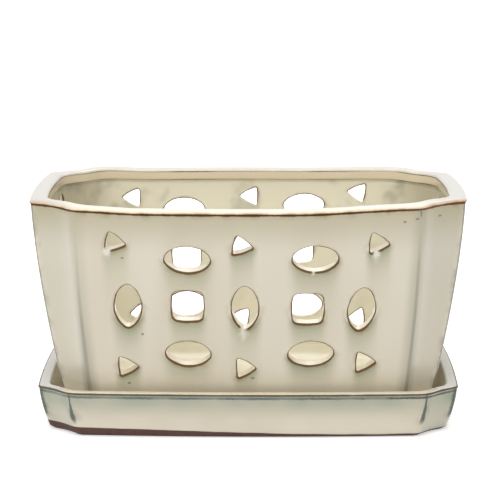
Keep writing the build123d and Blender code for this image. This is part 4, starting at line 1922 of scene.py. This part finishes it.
@dataclass(frozen=True)
class PotGlaze(GlazeFinish):
    """The pot's glaze: brown on the edges of slots and lip, grey-green where it gathers, with painted light
    and shade.
    """

    name: str = "pot_glaze"
    cloud: Tint = tint(222, 214, 195, 0.3)
    # Corner hollows: gathered glaze and painted shade, greyer higher up under the rim
    facet: Tint = tint(196, 191, 174)
    facet_fade: float = 5.0
    facet_shade_rise: Ramp = (30 * MM, 95 * MM, 0.15, 0.45)
    inside: Tint = tint(238, 232, 209, 0.85)
    # Painted shade in the inner corners at the ends
    corner: Tint = tint(176, 168, 140, 0.74)
    corner_shade_span: Ramp = (78 * MM, 112 * MM)
    smoke: Tint = tint(156, 152, 132)
    smoke_patches: Ramp = (52.0, 0.5, 0.7)
    smoke_rise: Ramp = (60 * MM, 105 * MM, 0.25, 1.0)
    smoke_cover: Band = (0.3, 0.42)
    wash: Tint = tint(184, 178, 146, 0.72)
    pool: Tint = tint(148, 151, 124, 0.8)
    pool_runs: Band = (1.0, 0.5)
    # Under the lip: gathered glaze and painted shade
    olive: Tint = tint(180, 171, 139)
    olive_span: Ramp = (-28.0, 2.0)
    olive_end: float = 0.3
    olive_cover: Band = (0.2, 0.78)
    # Painted light in the tunnels, for light falling on their sills
    tunnel: Tint = tint(252, 242, 222, 0.92)
    # Painted light low on the outer wall, against the shade of the tray
    foot: Tint = tint(252, 242, 222, 0.5)
    foot_span: Ramp = (38 * MM, 22 * MM)
    # Along the long ears: thin glaze and painted shade
    ear: Tint = tint(156, 152, 132)
    ear_core: Ramp = (0.3, 1.8, 0.5, 0.0)
    ear_core_drop: Ramp = (128 * MM, 100 * MM, 0.2, 1.0)
    ear_side: Ramp = (0.5, 8.0, 0.55, 0.0)
    ear_drop: Ramp = (130 * MM, 45 * MM, 0.5, 1.0)
    ear_runs: Band = (1.0, 0.55)
    ear_most: float = 0.9
    # Painted light on the rim's top, and painted shade at its ends and back
    rim: Tint = tint(241, 232, 209, 0.75)
    rim_end_shade: Tint = tint(189, 185, 177, 0.8)
    rim_end_span: Ramp = (92 * MM, 114 * MM)
    rim_back_shade_span: Ramp = (30 * MM, 66 * MM, 0.0, 0.7)
    bead: Tint = tint(238, 220, 184, 0.6)
    bead_span: Ramp = (11.7, 13.4)
    peach: Tint = tint(232, 200, 160, 0.85)
    peach_span: Ramp = (0.6, 3.4, 1.0, 0.0)
    peach_patches: Ramp = (14.0, 0.2, 0.7, 0.45, 1.0)
    slot_brown: Colour = shade(102, 75, 40)
    brown: Colour = shade(72, 42, 4)
    russet: Colour = shade(112, 60, 14)
    russet_span: Ramp = (55 * MM, 95 * MM)
    russet_patches: Ramp = (22.0, 0.3, 0.6)
    line_cover: float = 0.98
    slot_widths: Ramp = (-0.6, 0.9, 0.42, 0.95)
    slot_ragged: float = 0.4
    lip_line: Band = (0.95, 0.35)
    bead_line: Band = (0.4, 0.3)
    bead_patches: Ramp = (18.0, 0.35, 0.6, 0.35, 0.9)
    stain: Tint = tint(150, 118, 66, 0.42)
    stain_off_tunnel: float = 0.75
    drip: Tint = tint(232, 227, 212, 0.85)
    short_ear: Tint = tint(100, 100, 78, 0.75)
    short_ear_line: Band = (1.0, 0.8)
    short_ear_stain: float = 0.6
    fleck: Tint = tint(92, 90, 72)
    fleck_edge: Ramp = (0.4, 1.25, 0.7, 0.0)
    front_span: Ramp = (-35 * MM, -40 * MM)
    flecks: tuple[Spot, ...] = spots(
        (96.6, 132.4, 0.55, 2.8), (94.6, 129.2, 1.3, 0.7), (87.5, 127.7, 1.1, 0.7), (108.3, 128.6, 1.1, 0.7),
        (-70.2, 106.9, 1.0, 0.6), (-59.7, 61.4, 0.9, 0.9), (-68.1, 30.7, 1.1, 0.8), (2.7, 34.6, 1.3, 0.8),
    )
    bare_span: Ramp = (7.4 * MM, 8.0 * MM, 1.0, 0.0)

    def make(self, effects: GlazeEffects) -> bpy.types.Material:
        """Makes the pot's glaze.

        Args:
            effects: The shared node groups.

        Returns:
            The material.
        """
        bench = self.start(effects)
        facet = bench.hollow(self.facet_fade)
        bench.lay(self.cloud, bench.tone)
        # Painted shade, with gathered glaze, greys the corner hollows, more towards the rim
        bench.lay(self.facet, facet, bench.step(bench.z, *self.facet_shade_rise))

        # Inside: painted shade darkens the corners, smoked in patches
        bench.lay(self.inside, bench.inside)
        corner = bench.times(bench.inside, bench.step(bench.along, *self.corner_shade_span))
        bench.lay(self.corner, corner)
        high, cover = bench.step(bench.z, *self.smoke_rise), bench.scaled(corner, *self.smoke_cover)
        bench.lay(self.smoke, bench.patches(*self.smoke_patches), bench.inside, high, cover)

        # Glaze gathered under the slots; under the lip, gathered glaze and painted shade, stronger in the
        # corner hollows; painted light in the tunnels and at the foot
        bench.lay(self.wash, bench.mark("wash"))
        bench.lay(self.pool, bench.mark("pool"), bench.scaled(bench.runs, *self.pool_runs))
        below = bench.math("LESS_THAN", bench.lip_gap, self.olive_end)
        cover = bench.scaled(facet, *self.olive_cover)
        bench.lay(self.olive, bench.step(bench.lip_gap, *self.olive_span), below, cover)
        # Painted light: the tunnels near white, standing in for light falling on their sills
        bench.lay(self.tunnel, bench.mark("tunnel"))
        # Painted light low on the outer wall, above the tray
        bench.lay(self.foot, bench.step(bench.z, *self.foot_span), bench.outside)

        # Grey along the long ears, strongest low down: thin glaze on the ridge, and painted shade where the
        # wall turns into the corner
        off = bench.math("ABSOLUTE", bench.long_gap)
        core = bench.times(bench.step(off, *self.ear_core), bench.step(bench.z, *self.ear_core_drop))
        ear = bench.math("ADD", core, bench.step(off, *self.ear_side))
        low, runs = bench.step(bench.z, *self.ear_drop), bench.scaled(bench.runs, *self.ear_runs)
        bench.lay(self.ear, bench.math("MINIMUM", bench.times(ear, low, bench.outside, runs), self.ear_most))

        # Painted light whitens the rim's top, and painted shade greys it at the ends and the back; a warm
        # bead inside, and a peach edge at the lip's line
        bench.lay(self.rim, bench.rim)
        back = bench.step(bench.y, *self.rim_back_shade_span)
        bench.lay(self.rim_end_shade, bench.rim, bench.most(bench.step(bench.along, *self.rim_end_span), back))
        bench.lay(self.bead, bench.rim, bench.step(bench.lip_gap, *self.bead_span))
        warm = bench.step(bench.lip_gap, *self.peach_span)
        bench.lay(self.peach, warm, bench.rim, bench.patches(*self.peach_patches))

        line = self.break_edges(bench)
        bench.lay(self.pinhole, bench.specks)
        front = bench.step(bench.y, *self.front_span)
        for fleck in self.flecks:
            apart = bench.vector("SUBTRACT", bench.where, (fleck.x, 0.0, fleck.z))[0]
            sized = bench.vector("MULTIPLY", apart, (1 / fleck.wide, 0.0, 1 / fleck.tall))[0]
            bench.lay(self.fleck, bench.step(bench.vector("LENGTH", sized)["Value"], *self.fleck_edge), front)
        bare = bench.step(bench.z, *self.bare_span)
        bench.lay((self.clay, 1.0), bare)
        return self.finish(bench, bench.most(line, bare))

    def break_edges(self, bench: GlazeBench) -> Socket:
        """Breaks the glaze to brown on slots, lip and bead, and to olive along the short ears.

        Args:
            bench: The glaze in the making.

        Returns:
            Where the brown lines show.
        """
        width = bench.step(bench.mark("sill"), *self.slot_widths)
        slot_line, slot_stain = bench.edge(bench.mark("edge_gap"), width, self.slot_ragged)
        lip_line, lip_stain = bench.edge(bench.lip_gap, *self.lip_line)
        bead_line, _ = bench.edge(bench.mark("bead_gap"), *self.bead_line)
        ear_line, ear_stain = bench.edge(bench.short_gap, *self.short_ear_line)
        drip = bench.mark("drip")
        faint = bench.times(bead_line, bench.patches(*self.bead_patches))
        line = bench.times(bench.most(slot_line, lip_line, faint), bench.rest(drip))
        # The stain is mostly kept out of the tunnels, so that their painted light stays pale
        off_tunnel = bench.rest(bench.times(bench.mark("tunnel"), self.stain_off_tunnel))
        bench.lay(self.stain, bench.most(slot_stain, lip_stain), off_tunnel)
        bench.lay(self.drip, drip)
        ears = bench.most(ear_line, bench.times(ear_stain, self.short_ear_stain))
        bench.lay(self.short_ear, ears, bench.outside)
        red = bench.times(bench.step(bench.along, *self.russet_span), bench.patches(*self.russet_patches))
        lip_brown = bench.mix(red, self.brown, self.russet)
        bench.lay((bench.mix(lip_line, self.slot_brown, lip_brown), self.line_cover), line)
        return line


@dataclass(frozen=True)
class TrayGlaze(GlazeFinish):
    """The tray's glaze: grey-green under the lip, broken to blue and dark lines, off the clay of the foot,
    with painted light and shade.
    """

    name: str = "tray_glaze"
    cloud_scale: float = 12.0
    inside: Tint = tint(238, 232, 209, 0.8)
    # Painted light on the lowest wall, for light thrown up from the floor
    low: Tint = tint(252, 242, 222, 0.3)
    low_light_span: Ramp = (16 * MM, 4 * MM)
    facet: Tint = tint(140, 150, 130, 0.3)
    facet_fade: float = 3.0
    band: Tint = tint(140, 150, 130, 0.8)
    band_span: Ramp = (-15.0, -2.0)
    band_runs: Band = (0.5, 0.5)
    # Painted light on the rim's top, and painted shade at its ends
    rim: Tint = tint(241, 232, 209, 0.9)
    rim_span: Ramp = (0.85, 1.15)
    rim_end_shade: Tint = tint(189, 185, 177, 0.8)
    rim_end_span: Ramp = (98 * MM, 112 * MM)
    peach: Tint = tint(232, 200, 160, 0.12)
    between: Tint = tint(140, 144, 128, 0.8)
    between_start: Ramp = (-1.6, -1.0)
    between_end: Ramp = (0.75, 1.05, 1.0, 0.0)
    dark: Colour = shade(69, 63, 40)
    dark_span: Ramp = (10 * MM, 60 * MM, 0.0, 0.7)
    blue: Colour = shade(86, 98, 92)
    lip_place: float = 0.9
    lip_line: Band = (0.7, 0.35)
    lip_cover: float = 0.9
    under_place: float = -1.5
    under_line: Band = (0.65, 0.7)
    under_scale: float = 60.0
    under_stretch: Point = (1, 1, 0.2)
    under_patches: Ramp = (0.3, 0.6, 0.5, 0.95)
    ear_widths: Ramp = (24 * MM, 9 * MM, 0.5, 1.6)
    ear_ragged: float = 1.0
    short_ear_line: Band = (2.6, 1.4)
    ear_span: Ramp = (-20.0, -15.0)
    ear_cover: float = 0.87
    ear_stain: Tint = tint(140, 144, 128, 0.5)
    clay_dark: Colour = shade(84, 60, 53)
    clay_scale: float = 240.0
    foot_span: Ramp = (-110 * MM, 70 * MM, 5.9 * MM, 2.1 * MM)
    foot_scale: float = 60.0
    foot_wander: float = 0.8 * MM
    foot_edge: Ramp = (-0.15 * MM, 0.2 * MM, 1.0, 0.0)

    def make(self, effects: GlazeEffects) -> bpy.types.Material:
        """Makes the tray's glaze.

        Args:
            effects: The shared node groups.

        Returns:
            The material.
        """
        bench = self.start(effects)
        lip_gap = bench.lip_gap
        bench.lay(self.inside, bench.inside)
        # Painted light: paler towards the bottom, for light thrown up from the floor
        bench.lay(self.low, bench.step(bench.z, *self.low_light_span))
        bench.lay(self.facet, bench.hollow(self.facet_fade))
        runs = bench.scaled(bench.runs, *self.band_runs)
        bench.lay(self.band, bench.step(lip_gap, *self.band_span), bench.outside, runs)
        # Painted light whitens the rim's top, and painted shade greys its ends
        over = bench.times(bench.rim, bench.step(lip_gap, *self.rim_span))
        bench.lay(self.rim, over)
        bench.lay(self.peach, over)
        bench.lay(self.rim_end_shade, over, bench.step(bench.along, *self.rim_end_span))
        start, end = bench.step(lip_gap, *self.between_start), bench.step(lip_gap, *self.between_end)
        bench.lay(self.between, start, end)
        line = self.break_edges(bench)
        bench.lay(self.pinhole, bench.specks)

        # Bare clay foot, higher at the left, with a wandering edge
        wander = bench.math("SUBTRACT", bench.noise(bench.where, self.foot_scale), 0.5)
        slope = bench.step(bench.x, *self.foot_span)
        foot = bench.math("ADD", slope, bench.times(wander, self.foot_wander))
        bare = bench.step(bench.math("SUBTRACT", bench.z, foot), *self.foot_edge)
        clay = bench.mix(bench.noise(bench.where, self.clay_scale), self.clay_dark, self.clay)
        bench.lay((clay, 1.0), bare)
        return self.finish(bench, bench.most(line, bare))

    def break_edges(self, bench: GlazeBench) -> Socket:
        """Breaks the glaze on the rim's edge, in a broken line under the lip, and along the ears.

        Args:
            bench: The glaze in the making.

        Returns:
            Where the lines of the rim and the ears show.
        """
        lip_line, _ = bench.edge(bench.math("SUBTRACT", bench.lip_gap, self.lip_place), *self.lip_line)
        under_line, _ = bench.edge(bench.math("SUBTRACT", bench.lip_gap, self.under_place), *self.under_line)
        width = bench.step(bench.z, *self.ear_widths)
        long_line, long_stain = bench.edge(bench.long_gap, width, self.ear_ragged)
        short_line, short_stain = bench.edge(bench.short_gap, *self.short_ear_line)
        shown = bench.times(bench.outside, bench.step(bench.lip_gap, *self.ear_span))
        ears = bench.times(bench.most(long_line, short_line), shown)
        bench.lay(self.ear_stain, bench.most(long_stain, short_stain), shown)
        waves = bench.noise(bench.where, self.under_scale, stretch=self.under_stretch)
        under = bench.mix(bench.step(bench.x, *self.dark_span), self.blue, self.dark)
        bench.lay((under, 1.0), under_line, bench.step(waves, *self.under_patches))
        bench.lay((self.blue, self.ear_cover), ears)
        bench.lay((self.dark, self.lip_cover), lip_line)
        return bench.most(lip_line, ears)


@dataclass(frozen=True)
class Lamp:
    """A square soft lamp: its place, its side and its power in watts."""

    name: str
    place: Point
    side: float
    power: float


@dataclass
class Studio:
    """White floor, soft lamps and the camera."""

    elevation: float = math.radians(13.6)
    azimuth: float = math.radians(0.4)
    distance: float = 1.106
    aim: Point = (0.8 * MM, 0.0, 58.8 * MM)
    lens: float = 131.9
    sensor: float = 36.0
    clip: Band = (0.05, 50.0)
    tilt_up: float = math.radians(1.906)
    air: float = 0.43
    lamps: tuple[Lamp, ...] = (
        Lamp("overhead_lamp", (-0.15, -0.25, 1.25), 1.1, 10.6),
        Lamp("left_lamp", (-1.1, -1.2, 0.9), 0.9, 5.2),
        Lamp("right_lamp", (1.1, -1.2, 0.9), 0.9, 4.1),
        Lamp("rear_lamp", (0.2, 1.2, 1.3), 0.9, 3.6),
    )
    lit_point: Point = (0.0, 0.0, 0.07)
    floor_half: float = 8.0
    floor_colour: Colour = (0.85, 0.85, 0.85)
    floor_roughness: float = 0.9
    glow_span: Ramp = (0.1, 0.6, 0.5, 1.0)

    def set_camera(self) -> None:
        """Sets the camera at the photograph's view, tilted up a little so that the object sits low."""
        data = bpy.data.cameras.new("camera")
        data.lens, data.sensor_width = self.lens, self.sensor
        data.clip_start, data.clip_end = self.clip
        camera = bpy.data.objects.new("camera", data)
        bpy.context.scene.collection.objects.link(camera)
        level = math.cos(self.elevation)
        back = math.sin(self.azimuth) * level, -math.cos(self.azimuth) * level, math.sin(self.elevation)
        camera.location = Vector(self.aim) + Vector(back) * self.distance
        camera.rotation_euler = (math.pi / 2 - self.elevation + self.tilt_up, 0, self.azimuth)
        bpy.context.scene.camera = camera

    @staticmethod
    def seen(board: Board) -> Socket:
        """1 for rays that see the background itself, from the camera, in a gloss or through glass."""
        path = board.put("ShaderNodeLightPath").outputs
        return board.most(path["Is Camera Ray"], path["Is Glossy Ray"], path["Is Transmission Ray"])

    def hang_lamps(self) -> None:
        """Fills the air with soft light and hangs the lamps."""
        world = bpy.data.worlds.new("studio_air")
        world.use_nodes = True
        board = Board(world.node_tree)
        sky = world.node_tree.nodes["Background"].inputs
        board.feed(sky["Color"], (1, 1, 1))
        board.feed(sky["Strength"], board.step(self.seen(board), 0.0, 1.0, self.air, 1.0))
        bpy.context.scene.world = world
        for lamp in self.lamps:
            data = bpy.data.lights.new(lamp.name, "AREA")
            data.size, data.energy = lamp.side, lamp.power
            hung = bpy.data.objects.new(lamp.name, data)
            bpy.context.scene.collection.objects.link(hung)
            hung.location = lamp.place
            way = Vector(self.lit_point) - Vector(lamp.place)
            hung.rotation_euler = way.to_track_quat("-Z", "Y").to_euler()

    def lay_floor(self) -> None:
        """Lays the white floor, which keeps the object's shadow close by and is plain white further off."""
        mesh = bpy.data.meshes.new("studio_floor")
        half = self.floor_half
        corners = [(-half, -half, 0), (half, -half, 0), (half, half, 0), (-half, half, 0)]
        mesh.from_pydata(corners, [], [(0, 1, 2, 3)])
        made = bpy.data.materials.new("white_floor")
        made.use_nodes = True
        board = Board(made.node_tree)
        sheet = made.node_tree.nodes["Principled BSDF"].inputs
        where = board.put("ShaderNodeTexCoord").outputs["Object"]
        glow = board.step(board.vector("LENGTH", where)["Value"], *self.glow_span)
        for name, value in (
            ("Base Color", self.floor_colour),
            ("Roughness", self.floor_roughness),
            ("Specular IOR Level", 0.0),
            ("Emission Color", (1, 1, 1)),
            ("Emission Strength", board.times(self.seen(board), glow)),
        ):
            board.feed(sheet[name], value)
        mesh.materials.append(made)
        floor = bpy.data.objects.new("studio_floor", mesh)
        bpy.context.scene.collection.objects.link(floor)


def main() -> None:
    """Builds the pot, the tray and the studio."""
    logging.basicConfig(level=logging.INFO, format="%(name)s: %(message)s")
    bpy.context.scene.view_settings.view_transform = "Standard"
    effects = GlazeEffects()
    pot_glaze, tray_glaze = PotGlaze().make(effects), TrayGlaze().make(effects)
    pot = OrchidPot()
    pot_piece = pot.build(pot_glaze)
    pot.dress(pot_piece, pot_glaze)
    log.info("%s: %d faces", pot_piece.name, len(pot_piece.data.polygons))
    tray = DripTray()
    tray_piece = tray.build()
    tray.dress(tray_piece, tray_glaze)
    log.info("%s: %d faces", tray_piece.name, len(tray_piece.data.polygons))
    studio = Studio()
    studio.set_camera()
    studio.hang_lamps()
    studio.lay_floor()


if __name__ == "__main__":
    main()
